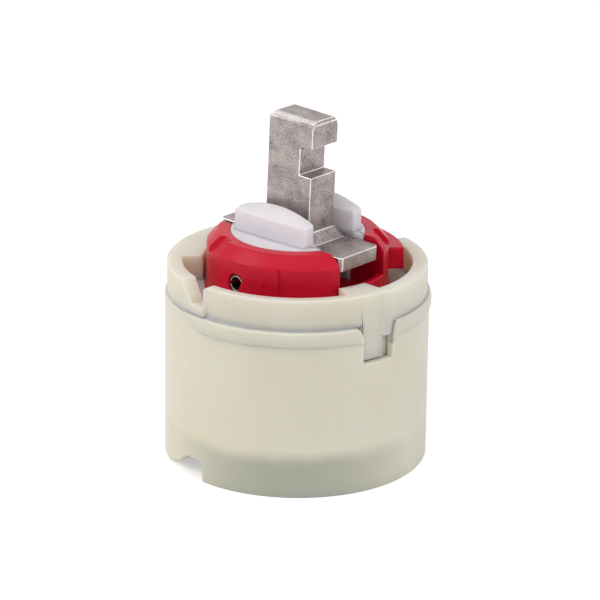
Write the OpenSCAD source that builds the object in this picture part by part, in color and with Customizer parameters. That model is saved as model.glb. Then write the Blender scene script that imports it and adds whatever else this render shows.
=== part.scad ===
// Single-lever mixer tap cartridge with ceramic discs, for a 47 mm seat.
// Z is the axis of the cartridge, and the origin is the centre of its seating face.
// The lever tilts along X, about a pin that lies along Y.

/* [Body] */
// Outer diameter of the sleeve
body_d = 47; // [45:0.5:50]
// Wall of the sleeve
sleeve_wall = 1.6; // [1.3:0.1:1.9]
// Height of the sleeve's inner lip, on which the base plate lies
lip_h = 1; // [0.8:0.1:1.4]
// Reach of that lip under the base plate
lip_reach = 1; // [0.6:0.1:1.4]
// Wall of the housing's skirt
skirt_wall = 1.9; // [1.5:0.1:2.2]
// Height of the rim above the recess round the rotor
rim_h = 4.5; // [4:0.1:6]
// Wall of the rim
rim_wall = 2.6; // [2.2:0.1:2.9]
// Thickness of the housing's shoulder, which is the rotor's bearing
shoulder_t = 4.9; // [4:0.1:6]
// Height from the top of the sleeve to the floor of the recess
sleeve_drop = 1.2; // [0.8:0.1:1.8]
// Width of the round on the rim's outer edge
rim_round = 1.3; // [0.6:0.1:1.6]
// Step of the front of the collar behind the rim
front_step = 0.8; // [0.4:0.1:1]

/* [Keys] */
// Middle of the key slot, as an angle from X
key_angle = -12; // [-14:1:-10]
// Width of the key slot in the sleeve
key_slot_w = 7; // [6:0.2:8]
// Depth of the key slot from the top of the sleeve
key_slot_h = 6.3; // [5:0.1:8]
// Width of the housing's key in that slot
key_w = 4; // [3:0.2:4.6]
// Height of the locating notch in the foot of the sleeve
foot_notch_h = 3.8; // [3:0.1:4.2]
// Reach of the locating notch into the base
foot_notch_reach = 6.5; // [4:0.1:7]

/* [Base] */
// Thickness of the base plate
base_t = 4.6; // [4.4:0.1:5.6]
// Height of the cup wall round the fixed disc
cup_h = 2.9; // [2:0.1:3.6]
// Diameter of a port
port_d = 7.5; // [6:0.1:8]
// Distance from a port seal's groove to the cup wall
port_margin = 2.8; // [2.4:0.1:3.2]
// Width of a port seal's ring
seal_w = 1.85; // [1.4:0.05:2]
// Thickness of a lower port seal
lower_seal_t = 1.9; // [1.5:0.1:2]
// Depth of an upper port seal's groove
upper_groove_h = 1.7; // [1.4:0.1:2]
// Gap between base plate and fixed disc, which the upper seals bridge
seal_stand = 0.3; // [0.1:0.1:0.6]

/* [Discs] */
// Thickness of each ceramic disc
disc_t = 3.8; // [3:0.1:5]
// Diameter of the moving disc
moving_disc_d = 26.8; // [26:0.2:27.6]
// Distance from the mixing chamber to the moving disc's edge, over the outlet
chamber_edge = 3; // [2.8:0.1:3.6]
// Width of the mixing chamber's end over the outlet
outlet_end_d = 8.4; // [7:0.1:9]
// Width of the mixing chamber's two ends over the inlets
inlet_end_d = 6.4; // [5:0.1:7]
// Distance between the middles of those two ends
inlet_spread = 11.2; // [10:0.1:12]
// Distance of those two ends from the disc's middle, along the slide
inlet_reach = 1.2; // [0:0.1:2]
// Thickness of the carrier's flange
carrier_t = 4.1; // [3.8:0.1:5]
// Depth of the mixing chamber in the carrier
chamber_h = 1.7; // [1.2:0.1:2]
// Height of the carrier's guide block
guide_h = 5; // [4.4:0.1:6]
// Width of the guide block across the slide
guide_w = 18; // [16:0.2:19]
// Length of the guide block along the slide
guide_l = 20; // [17:0.5:22]
// Thickness of the noise insert
insert_t = 0.8; // [0.5:0.1:0.9]
// Diameter of the insert's holes
insert_hole_d = 1.1; // [0.8:0.1:1.4]
// Distance from hole to hole in the insert
insert_pitch = 2.1; // [1.8:0.1:2.6]

/* [Rotor] */
// Width of the recess between the rotor's ring and the rim
recess_w = 4.4; // [4:0.1:5]
// Thickness of the rotor's flange over the guide block
flange_t = 4; // [3:0.1:5]
// Thickness of the thrust ring
thrust_t = 0.8; // [0.5:0.1:1.5]
// Height from the recess to the pin's axis
pin_rise = 3.8; // [3.4:0.1:4.6]
// Height from the pin's axis to the ring's shoulder
shoulder_rise = 4.1; // [3.8:0.1:5]
// Height of the sloping crown above the ring's shoulder
crown_h = 2; // [1.4:0.1:2.4]
// Diameter of the crown's opening
crown_d = 23.2; // [22:0.2:24]
// Width of the slot for the lever's foot
foot_slot_w = 11.5; // [10.4:0.1:12]
// Radial reach of the stop lug
stop_reach = 2.2; // [1.8:0.1:2.6]
// Angle that the stop lug covers, half each side of the pin's axis
stop_span = 93; // [80:1:100]
// Turn from the middle to each stop
turn_limit = 48; // [30:1:50]
// Clearance between rotor and bearing, on the radius
bearing_clear = 0.06; // [0.02:0.01:0.1]

/* [Lever] */
// Tilt at which the lever stands, from upright towards X
rest_tilt = 2.3; // [-10:0.1:10]
// Length of the lever's stem along X
stem_l = 9.8; // [9:0.1:11]
// Thickness of the stem along Y
stem_w = 6.3; // [5:0.1:6.6]
// Height of the stem's top above the pin's axis
stem_top = 27.6; // [24:0.2:34]
// Length of the foot
foot_l = 27.4; // [24:0.2:28]
// Width of the foot
foot_w = 9.7; // [9:0.1:9.8]
// Height of the foot's underside above the pin's axis
foot_rise = 3.2; // [3:0.1:3.6]
// Thickness of the foot
foot_t = 2.6; // [2:0.1:3]
// Height of the screw notch
notch_h = 5.3; // [4:0.1:6]
// Depth of the screw notch
notch_depth = 2.85; // [2:0.05:3.6]
// Height of the hook above the screw notch
hook_h = 4.7; // [3:0.1:6]
// Diameter of the lever's hub
hub_d = 10; // [8:0.2:11]
// Diameter of the ball at the lever's lower end
ball_d = 6; // [5:0.1:6.4]
// Diameter of the neck above the ball
neck_d = 4; // [3:0.1:4.2]
// Outer diameter of the spring pin
pin_d = 3; // [2.5:0.1:3]
// Wall of the spring pin
pin_wall = 0.5; // [0.3:0.05:0.6]
// Length of the spring pin
pin_l = 30; // [28:0.2:30.4]
// Clearance between lever and pin, on the radius
pin_clear = 0.05; // [0.02:0.01:0.08]

/* [Guide cheeks] */
// Length of a cheek's fin along X
cheek_l = 15.6; // [14:0.1:16]
// Thickness of the fin
cheek_t = 2.7; // [2:0.1:2.8]
// Height of the fin's arch above its flange
cheek_h = 5.5; // [4:0.1:7]
// Radius of the fin's arched top
arch_r = 20; // [18:0.5:30]
// Round on the fin's outer edge
cheek_round = 1.2; // [0.6:0.1:1.6]
// Thickness of the cheek's flange
cheek_flange_t = 3.4; // [2.6:0.1:3.5]
// Clearance between the foot and each cheek
foot_clear = 0.1; // [0.05:0.01:0.2]

/* [Hidden] */
$fn = 96;
far = 60;               // longer than the part, for cuts that run right through
snug = 0.05;            // gap between pieces that are assembled without play
slide_clear = 0.1;      // gap on each face of the carrier's slide
swing_clear = 0.3;      // gap between faces that pass one another freely
lap = 0.02;             // water film between the two ceramic discs
weld = 0.01;            // sink of one solid into the next where they are joined

// Radii, from the outside inwards
body_r = body_d / 2;
sleeve_in_r = body_r - sleeve_wall;
skirt_r = sleeve_in_r - 2 * snug;
skirt_in_r = skirt_r - skirt_wall;
rotor_foot_r = skirt_in_r - swing_clear;
collar_r = body_r - 0.4;
front_r = collar_r - front_step;
rim_in_r = collar_r - rim_wall;
cup_in_r = skirt_in_r - 1;
port_circle_r = cup_in_r - port_margin - seal_w - port_d / 2;
fixed_disc_r = cup_in_r - 2 * snug;
moving_disc_r = moving_disc_d / 2;
ring_r = rim_in_r - recess_w;
neck_r = ring_r + 0.24;
bore_r = neck_r + bearing_clear;
stop_r = ring_r + stop_reach;
crown_r = crown_d / 2;

// Heights, from the seating face upwards
z_cup = base_t + cup_h;
z_fixed = base_t + seal_stand;
z_moving = z_fixed + disc_t + lap;
z_carrier = z_moving + disc_t;
z_flange = z_carrier + carrier_t;
z_rotor = z_flange + snug;
z_guide = z_flange + guide_h;
z_roof = z_guide + slide_clear;
z_thrust = z_roof + flange_t + snug;
z_shoulder = z_thrust + thrust_t;
z_recess = z_shoulder + shoulder_t;
z_sleeve = z_recess - sleeve_drop;
z_rim = z_recess + rim_h;
z_pin = z_recess + pin_rise;
z_ring = z_pin + shoulder_rise;
z_crown = z_ring + crown_h;

// The lever's lower arm, and where its ball stands at rest
max_tilt = 12.5;        // furthest tilt of the lever to either side of upright
ball_sink = ball_d / 2 - 0.38;
arm = z_pin - (z_guide - ball_sink);
ball_x = -arm * sin(rest_tilt);
arm_l = 5.6;            // length along X of the lever's lower arm
arm_part = 0.62;        // part of the arm above its round neck
cheek_in_y = foot_w / 2 + foot_clear;
cheek_mid_y = cheek_in_y + cheek_t / 2;
z_cheek = z_crown + 0.2;
z_cheek_seat = z_cheek - cheek_flange_t;
flange_r = crown_r - 0.3;
leg_l = cheek_l - 1.6;
z_leg = z_pin - 3.8;
swing_w = stem_w + 3 * swing_clear;
swing_l = 2 * (max(hub_d / 2, arm * sin(max_tilt) + arm_l / 2) + 0.8);

// Angles of the ports, of the rim's notches and of what stands on the ring
PORTS = [60, -60, 180];
rim_notches = [[-97.5, -90.5], [74.5, 90]];
front_arc = [-90.5, -20.5];
rim_step_arc = [-18.5, -7.5];
bead_arcs = [[-100.5, -21.5], [-2.5, 120]];
crown_pockets = [-114.5, 35.5];
pad_arc = [-88, -60.5];
foot_notch_angle = -106;
drive_lugs = [45, 135, 225, 315];
stop_w = 19;            // angle of each stop block in the recess

// Small edges and beads of the housing
foot_bevel = 0.5;
snap_out = 0.35;        // how far the housing's snap bead stands out
z_snap = z_sleeve - 3.2;
bead_out = 0.2;         // how far the sleeve's top bead stands out
bead_h = 1.8;
pad_out = 0.4;          // how far the pad stands out of the ring

// Margins of the chamber seal's groove round the mixing chamber
groove_in = 0.8;
groove_out = 2.2;
groove_h = 1.2;

// Shapes that many pieces share
module tube(r, hole_r, z0, z1) {
    translate([0, 0, z0])
        difference() {
            cylinder(r = r, h = z1 - z0);
            translate([0, 0, -1]) cylinder(r = hole_r, h = z1 - z0 + 2);
        }
}

module rod(r, z0, z1) {
    translate([0, 0, z0]) cylinder(r = r, h = z1 - z0);
}

// A block that is centred on X and Y and runs between two heights
module block(l, w, z0, z1) {
    translate([-l / 2, -w / 2, z0]) cube([l, w, z1 - z0]);
}

// Everything between two angles about Z, as a wedge of straight-sided steps
module wedge(a0, a1, z0 = -1, z1 = far) {
    steps = ceil((a1 - a0) / 30);
    translate([0, 0, z0])
        linear_extrude(z1 - z0)
            polygon(concat([[0, 0]], [
                for (i = [0:steps])
                    let (a = a0 + (a1 - a0) * i / steps)
                    far * [cos(a), sin(a)]
            ]));
}

// A tube's stretch between two angles
module arc_wall(r, hole_r, z0, z1, a0, a1) {
    intersection() {
        tube(r, hole_r, z0, z1);
        wedge(a0, a1, z0 - 1, z1 + 1);
    }
}

// A ring about Z whose upper outer edge is rounded
module rounded_ring(r, hole_r, z0, z1, edge) {
    rotate_extrude()
        difference() {
            translate([hole_r, z0]) square([r - hole_r, z1 - z0]);
            translate([r - edge, z1 - edge])
                difference() {
                    square(edge + 1);
                    circle(edge);
                }
        }
}

module at_port(i) {
    rotate([0, 0, PORTS[i]]) translate([port_circle_r, 0, 0]) children();
}

// The locating notch at the foot: upright on one side and sloping on the other
module foot_notch() {
    upright_x = 5.5;
    flat_x = 1.4;
    slope_x = -5.9;
    slope_end = 0.3;
    rotate([0, 0, foot_notch_angle])
        translate([body_r - foot_notch_reach, 0, 0])
            rotate([90, 0, 90])
                linear_extrude(far)
                    polygon([
                        [upright_x, -1], [upright_x, foot_notch_h], [flat_x, foot_notch_h],
                        [slope_x, slope_end], [slope_x, -1]
                    ]);
}

// Outer shell
module sleeve() {
    color("#dcd8c6")
        difference() {
            union() {
                difference() {
                    tube(body_r, sleeve_in_r, 0, z_sleeve);
                    // groove that the housing's snap bead springs into
                    tube(sleeve_in_r + snap_out + snug, sleeve_in_r - 1, z_snap + 0.2, z_snap + 1.6);
                    // small bevel round the foot
                    translate([0, 0, -weld])
                        difference() {
                            cylinder(r = body_r + 1, h = foot_bevel);
                            cylinder(r1 = body_r - foot_bevel, r2 = body_r, h = foot_bevel);
                        }
                }
                tube(sleeve_in_r + weld, sleeve_in_r - lip_reach, 0, lip_h);
                for (a = bead_arcs)
                    intersection() {
                        rounded_ring(body_r + bead_out, body_r - 0.5, z_sleeve - bead_h, z_sleeve,
                                     3 * bead_out);
                        wedge(a[0], a[1]);
                    }
            }
            // key slot, open at the top
            rotate([0, 0, key_angle])
                translate([sleeve_in_r - 2, -key_slot_w / 2, z_sleeve - key_slot_h])
                    cube([far, key_slot_w, far]);
            foot_notch();
        }
}

// Upper part of the housing: skirt, shoulder with the bearing, recess and rim
module upper_housing() {
    color("#e0dccb")
        difference() {
            union() {
                tube(skirt_r, skirt_in_r, z_cup, z_shoulder + weld);
                tube(skirt_r, bore_r, z_shoulder, z_recess);
                tube(front_r, rim_in_r, z_sleeve, z_recess);
                // snap bead
                rotate_extrude()
                    polygon([
                        [skirt_r - 0.5, z_snap], [skirt_r, z_snap],
                        [skirt_r + snap_out, z_snap + 0.8], [skirt_r + snap_out, z_snap + 1.4],
                        [skirt_r - 0.5, z_snap + 1.4]
                    ]);
                // rim, full round the back and stepped in at the front
                difference() {
                    rounded_ring(collar_r, rim_in_r, z_sleeve, z_rim, rim_round);
                    wedge(front_arc[0], front_arc[1]);
                }
                intersection() {
                    rounded_ring(front_r, rim_in_r, z_sleeve, z_rim, rim_round * 0.6);
                    wedge(front_arc[0] - 1, front_arc[1] + 1);
                }
                housing_key();
                stop_blocks();
            }
            for (a = rim_notches)
                difference() {
                    wedge(a[0], a[1], z_recess + 0.5, far);
                    rod(rim_in_r - 0.5, 0, far);
                }
            // shallow step behind the rim's inner edge over the first stop block
            arc_wall((rim_in_r + collar_r) / 2, rim_in_r - 0.1, z_rim - 0.5, far,
                     rim_step_arc[0], rim_step_arc[1]);
        }
}

// The key that lines the housing up with the sleeve
module housing_key() {
    intersection() {
        tube(collar_r, skirt_r - 0.5, z_sleeve - key_slot_h + swing_clear, z_rim - 0.5);
        rotate([0, 0, key_angle])
            translate([0, -key_slot_w / 2 + snug, 0])
                cube([far, key_w, far]);
    }
}

// Two blocks in the recess that the rotor's lug comes up against
module stop_blocks() {
    reach = stop_span / 2 + turn_limit + 0.5;
    for (a = [[90 - reach - stop_w, 90 - reach], [90 + reach, 90 + reach + stop_w]])
        arc_wall(rim_in_r + 0.1, ring_r + pad_out + swing_clear,
                 z_recess - weld, z_rim - 0.6, a[0], a[1]);
}

// Base with the three ports, a seal groove on each side of each port and the disc's cup
module base_plate() {
    color("#5d625b")
        difference() {
            union() {
                rod(sleeve_in_r - lip_reach - 2 * snug, 0, lip_h + weld);
                rod(skirt_r, lip_h, base_t);
                tube(skirt_r, cup_in_r, base_t - weld, z_cup);
                disc_keys(0);
            }
            for (i = [0:2])
                at_port(i) {
                    rod(port_d / 2, -1, far);
                    rod(port_d / 2 + seal_w, -1, lower_seal_t);
                    rod(port_d / 2 + seal_w, base_t - upper_groove_h, far);
                }
            foot_notch();
        }
}

// Keys inside the cup, and with a gap the notches that they fit in the fixed disc
module disc_keys(gap) {
    l = 1.5;
    w = 4 + 2 * gap;
    for (a = [90, 270])
        rotate([0, 0, a])
            intersection() {
                rod(cup_in_r + 0.5, base_t - weld - gap, z_cup + gap);
                translate([cup_in_r - l - gap, -w / 2, 0]) cube([far, w, far]);
            }
}

module port_seal(i, z0, z1) {
    seal_r = port_d / 2 + seal_w - snug;
    color("#2f3330")
        at_port(i)
            difference() {
                rod(seal_r, z0, z1);
                rod(port_d / 2, z0 - 1, z1 + 1);
                // groove round the seal's outer face, between its two lips
                translate([0, 0, (z0 + z1) / 2])
                    rotate_extrude()
                        translate([seal_r, 0]) circle(seal_w / 4);
            }
}

module lower_seal(i) {
    port_seal(i, 0, lower_seal_t);
}

module upper_seal(i) {
    port_seal(i, base_t - upper_groove_h, z_fixed);
}

// Fixed ceramic disc: two arc-shaped inlets and an outlet that widens towards the top
module fixed_disc() {
    outer = port_circle_r + 1.7;
    inlet_inner = port_circle_r - 2.9;
    outlet_inner = port_circle_r - 4.1;
    inlet_half = 20;
    outlet_half = 42;
    z_top = z_fixed + disc_t;
    color("#f2f0ea")
        difference() {
            rod(fixed_disc_r, z_fixed, z_top);
            for (a = [PORTS[0], PORTS[1]])
                arc_wall(outer, inlet_inner, z_fixed - 1, z_top + 1, a - inlet_half, a + inlet_half);
            at_port(2) translate([0.9, 0, 0]) rod(port_d / 2 - 0.6, z_fixed - 1, far);
            arc_wall(outer, outlet_inner, z_fixed + disc_t / 2, z_top + 1,
                     PORTS[2] - outlet_half, PORTS[2] + outlet_half);
            disc_keys(snug);
        }
}

// Thrust ring between the rotor's flange and the housing's shoulder
module thrust_ring() {
    pocket_d = 1.4;
    color("#efece2")
        difference() {
            tube(skirt_in_r - snug, bore_r + swing_clear, z_thrust, z_shoulder);
            // grease pockets
            for (a = [0:45:359])
                rotate([0, 0, a])
                    translate([(skirt_in_r + bore_r) / 2, 0, z_thrust - 1])
                        cylinder(d = pocket_d, h = thrust_t / 2 + 1);
        }
}

// Rotor: the foot that guides the carrier, the bearing neck and the ring with its crown
module rotor() {
    crown_pocket_w = 5;
    crown_pocket_l = 3.1;
    mouth_l = 10;
    color("#c81e2e")
        difference() {
            union() {
                rod(rotor_foot_r, z_rotor, z_roof + flange_t);
                rod(neck_r, z_roof + flange_t - weld, z_recess - 0.6);
                rod(ring_r, z_recess - 1, z_ring);
                translate([0, 0, z_ring - weld])
                    cylinder(r1 = ring_r, r2 = crown_r, h = crown_h + weld);
                arc_wall(stop_r, ring_r - 1, z_recess + 2.6, z_ring - 1,
                         90 - stop_span / 2, 90 + stop_span / 2);
                raised_pad();
            }
            // slide for the guide block
            block(far, guide_w + 2 * slide_clear, 0, z_roof);
            // room for the lever's hub and arm
            block(swing_l, swing_w, 0, z_pin + 1);
            // slot that the lever's foot rocks in
            block(far, foot_slot_w, z_pin, far);
            // well and pockets for the guide cheeks
            difference() {
                rod(flange_r, z_cheek_seat - snug, far);
                block(far, foot_slot_w - 1, 0, far);
            }
            cheek_legs(snug);
            cored_pockets();
            // pin bore, with a wider mouth at each end
            along_pin(pin_d / 2 + lap, far);
            for (s = [-1, 1])
                translate([0, s * (pin_l + mouth_l) / 2, 0]) along_pin(pin_d / 2 + 0.4, mouth_l);
            for (a = crown_pockets)
                rotate([0, 0, a])
                    translate([ring_r - crown_pocket_l, -crown_pocket_w / 2, z_ring - 0.2])
                        cube([far, crown_pocket_w, far]);
        }
}

// A round bar along the pin's axis, centred on the cartridge
module along_pin(r, l) {
    translate([0, l / 2, z_pin]) rotate([90, 0, 0]) cylinder(r = r, h = l);
}

// Hollows in the rotor's foot that keep its walls even, open downwards
module cored_pockets() {
    wall = 2;
    for (s = [-1, 1])
        intersection() {
            rod(rotor_foot_r - wall, 0, z_roof + flange_t / 3);
            translate([0, s * (guide_w / 2 + slide_clear + wall + far / 2), 0])
                difference() {
                    block(far, far, 0, far);
                    // rib in the middle
                    block(wall, far + 2, 0, far);
                }
        }
}

// Raised pad on the ring, left bare, with one slanting end
module raised_pad() {
    z_pad = z_recess + 1.8;
    slant_angle = -80;
    slant = 1.5;
    intersection() {
        tube(ring_r + pad_out, ring_r - 1, z_pad, z_ring - 0.1);
        wedge(pad_arc[0], pad_arc[1]);
        rotate([0, 0, slant_angle])
            rotate([90, 0, 90])
                linear_extrude(far)
                    polygon([[-slant, z_pad], [0, z_ring], [far, z_ring], [far, z_pad]]);
    }
}

// The legs of both cheeks, grown by a gap where they leave their pockets in the rotor
module cheek_legs(gap) {
    for (s = [-1, 1])
        translate([0, s * cheek_mid_y, 0])
            block(leg_l + 2 * gap, cheek_t + 2 * gap, z_leg - gap, z_cheek_seat + weld);
}

// White cheek that guides the lever's foot: arched fin, flange and leg
module guide_cheek(side) {
    color("#ecebf0")
        difference() {
            union() {
                // fin with an arched top and a rounded outer edge
                intersection() {
                    translate([0, side * cheek_in_y, z_cheek + cheek_h - arch_r])
                        rotate([side * -90, 0, 0])
                            rounded_ring(arch_r, 0, 0, cheek_t, cheek_round);
                    translate([0, side * cheek_mid_y, 0])
                        block(cheek_l, cheek_t + 2, z_cheek - 1, far);
                }
                // flange that fills the crown's opening
                intersection() {
                    rod(flange_r - snug, z_cheek_seat, z_cheek);
                    translate([0, side * (cheek_in_y + far / 2), 0])
                        block(far, far, 0, far);
                }
                translate([0, side * cheek_mid_y, 0])
                    block(leg_l, cheek_t, z_leg, z_cheek_seat + 1);
            }
            along_pin(pin_d / 2 + snug, far);
        }
}

// Slotted spring pin that the lever turns on
module lever_pin() {
    slit = 0.5;
    color("#8d8f92")
        difference() {
            along_pin(pin_d / 2, pin_l);
            along_pin(pin_d / 2 - pin_wall, pin_l + 2);
            translate([-pin_d, -pin_l / 2 - 1, z_pin - slit / 2]) cube([pin_d, pin_l + 2, slit]);
        }
}

// Side view of the stem, from the pin's axis up, with the screw notch under the hook
module stem_outline() {
    bevel = 0.5;
    inner_r = 0.9;
    notch_top = stem_top - hook_h;
    difference() {
        polygon([
            [-stem_l / 2, 0], [stem_l / 2, 0],
            [stem_l / 2, stem_top - bevel], [stem_l / 2 - bevel, stem_top],
            [-stem_l / 2 + bevel, stem_top], [-stem_l / 2, stem_top - bevel]
        ]);
        difference() {
            translate([stem_l / 2 - notch_depth, notch_top - notch_h])
                square([far, notch_h]);
            // round in the notch's upper inner corner
            translate([stem_l / 2 - notch_depth, notch_top - inner_r])
                difference() {
                    translate([-1, 0]) square(1 + inner_r);
                    translate([inner_r, 0]) circle(inner_r);
                }
        }
    }
}

// Lever in its own frame: the pin's axis is Y and the stem stands along Z
module upright_lever() {
    foot_top = foot_rise + foot_t;
    side_bevel = 0.6;
    gusset_l = stem_l / 2 + 1.9;
    gusset_h = 1.6;
    difference() {
        union() {
            // stem, with its long top edges bevelled
            intersection() {
                rotate([90, 0, 0])
                    translate([0, 0, -stem_w / 2]) linear_extrude(stem_w) stem_outline();
                rotate([90, 0, 90])
                    translate([0, 0, -far / 2])
                        linear_extrude(far)
                            polygon([
                                [-stem_w / 2, 0], [stem_w / 2, 0],
                                [stem_w / 2, stem_top - 2 * side_bevel],
                                [stem_w / 2 - side_bevel, stem_top + 0.1],
                                [-stem_w / 2 + side_bevel, stem_top + 0.1],
                                [-stem_w / 2, stem_top - 2 * side_bevel]
                            ]);
            }
            // gusset at the stem's root
            rotate([90, 0, 0])
                translate([0, 0, -stem_w / 2 - 0.5])
                    linear_extrude(stem_w + 1)
                        polygon([
                            [-gusset_l, foot_top - 0.5], [-gusset_l, foot_top],
                            [-stem_l / 2, foot_top + gusset_h], [stem_l / 2, foot_top + gusset_h],
                            [gusset_l, foot_top], [gusset_l, foot_top - 0.5]
                        ]);
            foot_bar(foot_top);
            // hub round the pin, under the foot
            intersection() {
                translate([0, stem_w / 2, 0]) rotate([90, 0, 0]) cylinder(d = hub_d, h = stem_w);
                block(far, far, -far, foot_top);
            }
            // arm that narrows to the neck
            block(arm_l, stem_w - 0.8, -arm * arm_part, 0);
            rod(neck_d / 2, -arm, 0);
            translate([0, 0, -arm]) sphere(d = ball_d);
        }
        translate([0, far / 2, 0]) rotate([90, 0, 0]) cylinder(r = pin_d / 2 + pin_clear, h = far);
    }
}

// Foot that rocks in the rotor's slot, with its four upright edges bevelled
module foot_bar(top) {
    bevel = 0.6;
    l = foot_l / 2;
    w = foot_w / 2;
    translate([0, 0, foot_rise])
        linear_extrude(top - foot_rise)
            polygon([
                [-l, -w + bevel], [-l + bevel, -w], [l - bevel, -w], [l, -w + bevel],
                [l, w - bevel], [l - bevel, w], [-l + bevel, w], [-l, w - bevel]
            ]);
}

module lever() {
    color("#8f8b88")
        translate([0, 0, z_pin]) rotate([0, rest_tilt, 0]) upright_lever();
}

// Outline of the mixing chamber, grown by a margin: one end over the outlet, two over the inlets
module chamber_outline(grow) {
    hull() {
        translate([-(moving_disc_r - chamber_edge - outlet_end_d / 2), 0])
            circle(outlet_end_d / 2 + grow, $fn = 32);
        for (s = [-1, 1])
            translate([inlet_reach, s * inlet_spread / 2])
                circle(inlet_end_d / 2 + grow, $fn = 32);
    }
}

module chamber(grow, z0, z1) {
    translate([0, 0, z0]) linear_extrude(z1 - z0) chamber_outline(grow);
}

// Places a piece of the slide where the lever's ball holds it at rest
module on_slide() {
    translate([ball_x, 0, 0]) children();
}

// Lugs under the carrier, and with a gap the notches that they fit in the moving disc
module drive_keys(gap) {
    l = 1.5 + 2 * gap;
    w = 3 + 2 * gap;
    h = 2.5 + 2 * gap;
    for (a = drive_lugs)
        rotate([0, 0, a])
            translate([moving_disc_r + gap - l, -w / 2, z_carrier + gap - h]) cube([l, w, h]);
}

// Carrier: flange over the moving disc, guide block and socket for the lever's ball
module disc_carrier() {
    carrier_r = moving_disc_r + 0.2;
    socket_r = ball_d / 2 + snug;
    lead_in = 0.6;
    color("#e6e3d6")
        on_slide()
            difference() {
                union() {
                    rod(carrier_r, z_carrier, z_flange);
                    intersection() {
                        block(guide_l, guide_w, z_flange - weld, z_guide);
                        rod(carrier_r, 0, far);
                    }
                    drive_keys(0);
                }
                rod(socket_r, z_guide - ball_sink - ball_d / 2 - 0.4, far);
                // bevel that leads the ball in
                translate([0, 0, z_guide - lead_in])
                    cylinder(r1 = socket_r, r2 = socket_r + lead_in + weld, h = lead_in + weld);
                chamber(0, 0, z_carrier + chamber_h);
                difference() {
                    chamber(groove_out, z_carrier - weld, z_carrier + groove_h);
                    chamber(groove_in, 0, far);
                }
            }
}

module moving_disc() {
    color("#f2f0ea")
        on_slide()
            difference() {
                rod(moving_disc_r, z_moving, z_carrier);
                chamber(0, 0, far);
                drive_keys(snug);
            }
}

// Seal round the mixing chamber, between carrier and moving disc
module chamber_seal() {
    color("#2f3330")
        on_slide()
            difference() {
                chamber(groove_out - snug, z_carrier, z_carrier + groove_h);
                chamber(groove_in + snug, 0, far);
            }
}

// Perforated insert that breaks up the flow in the mixing chamber and quietens it
module noise_insert() {
    z = z_carrier + 6 * snug;
    color("#b9bdc0")
        on_slide()
            difference() {
                chamber(-4 * snug, z, z + insert_t);
                for (i = [-4:1])
                    for (j = [-3:3])
                        translate([i * insert_pitch, j * insert_pitch, z - 1])
                            cylinder(d = insert_hole_d, h = insert_t + 2);
            }
}

sleeve();
upper_housing();
base_plate();
lower_seal(0);  // lower_seal_cold
lower_seal(1);  // lower_seal_hot
lower_seal(2);  // lower_seal_mixed
upper_seal(0);  // upper_seal_cold
upper_seal(1);  // upper_seal_hot
upper_seal(2);  // upper_seal_mixed
fixed_disc();
thrust_ring();
rotor();
guide_cheek(-1);  // guide_cheek_front
guide_cheek(1);  // guide_cheek_rear
lever_pin();
lever();
disc_carrier();
moving_disc();
chamber_seal();
noise_insert();
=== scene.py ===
"""Looks of a single-lever mixer tap cartridge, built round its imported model.

The pieces that show are computed surfaces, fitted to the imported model's sizes, with the rounds of
their moulds. The lever and the base plate are rounded copies of their nodes, and nodes inside only
get a finish. Lengths are millimetres while a piece is made, and metres once it is placed.
"""

from __future__ import annotations

import logging
import math
from dataclasses import dataclass
from enum import Enum
from typing import Any, Callable

import bmesh
import bpy
import numpy as np
from mathutils import Matrix, Vector


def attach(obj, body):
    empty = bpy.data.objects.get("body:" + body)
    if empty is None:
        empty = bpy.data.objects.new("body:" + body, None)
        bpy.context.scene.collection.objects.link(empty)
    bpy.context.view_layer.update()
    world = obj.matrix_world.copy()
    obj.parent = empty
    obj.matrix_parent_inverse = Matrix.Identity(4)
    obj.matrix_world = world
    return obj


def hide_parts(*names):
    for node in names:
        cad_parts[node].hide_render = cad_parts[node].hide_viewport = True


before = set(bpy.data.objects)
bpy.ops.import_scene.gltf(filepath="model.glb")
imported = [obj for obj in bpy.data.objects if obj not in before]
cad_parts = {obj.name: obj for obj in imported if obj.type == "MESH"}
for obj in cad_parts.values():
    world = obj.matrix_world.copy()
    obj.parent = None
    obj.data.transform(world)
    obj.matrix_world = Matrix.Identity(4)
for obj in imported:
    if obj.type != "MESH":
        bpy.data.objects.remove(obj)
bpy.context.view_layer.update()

LOG = logging.getLogger("cartridge")
MM = 0.001
# points closer than this are one point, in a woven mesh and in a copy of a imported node
TOUCHING = 0.0005
COPY_TOUCHING = 0.002
# a gap that keeps the two ends of a closed outline apart
CLOSING = 0.01
# longest steps along a path, for close work and for long walls
FINE_PITCH = 0.25
PITCH = 0.3
LONG_PITCH = 0.4
# steps over a rounded edge, and points along a curve into the key slot
EDGE_STEPS = 4
CURVE_POINTS = 14
PIN_HEIGHT = 35.27

Mesh = bpy.types.Mesh
Material = bpy.types.Material
Array = np.ndarray
Form = Callable[[Array, Array], Array]
Pair = tuple[float, float]
Triple = tuple[float, float, float]


class Body(str, Enum):
    """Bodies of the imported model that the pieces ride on."""

    HOUSING = "housing"
    ROTOR = "rotor"
    LEVER = "lever"


def linear(hex_colour: str) -> tuple[float, float, float, float]:
    """Turns an sRGB hex value into linear light, by the curve of the sRGB standard.

    Args:
        hex_colour: The colour as six hex digits after a hash.

    Returns:
        Red, green and blue from 0 to 1, and an alpha of 1.
    """
    parts = [int(hex_colour[i : i + 2], 16) / 255 for i in (1, 3, 5)]
    light = [c / 12.92 if c <= 0.04045 else ((c + 0.055) / 1.055) ** 2.4 for c in parts]
    return light[0], light[1], light[2], 1.0


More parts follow.
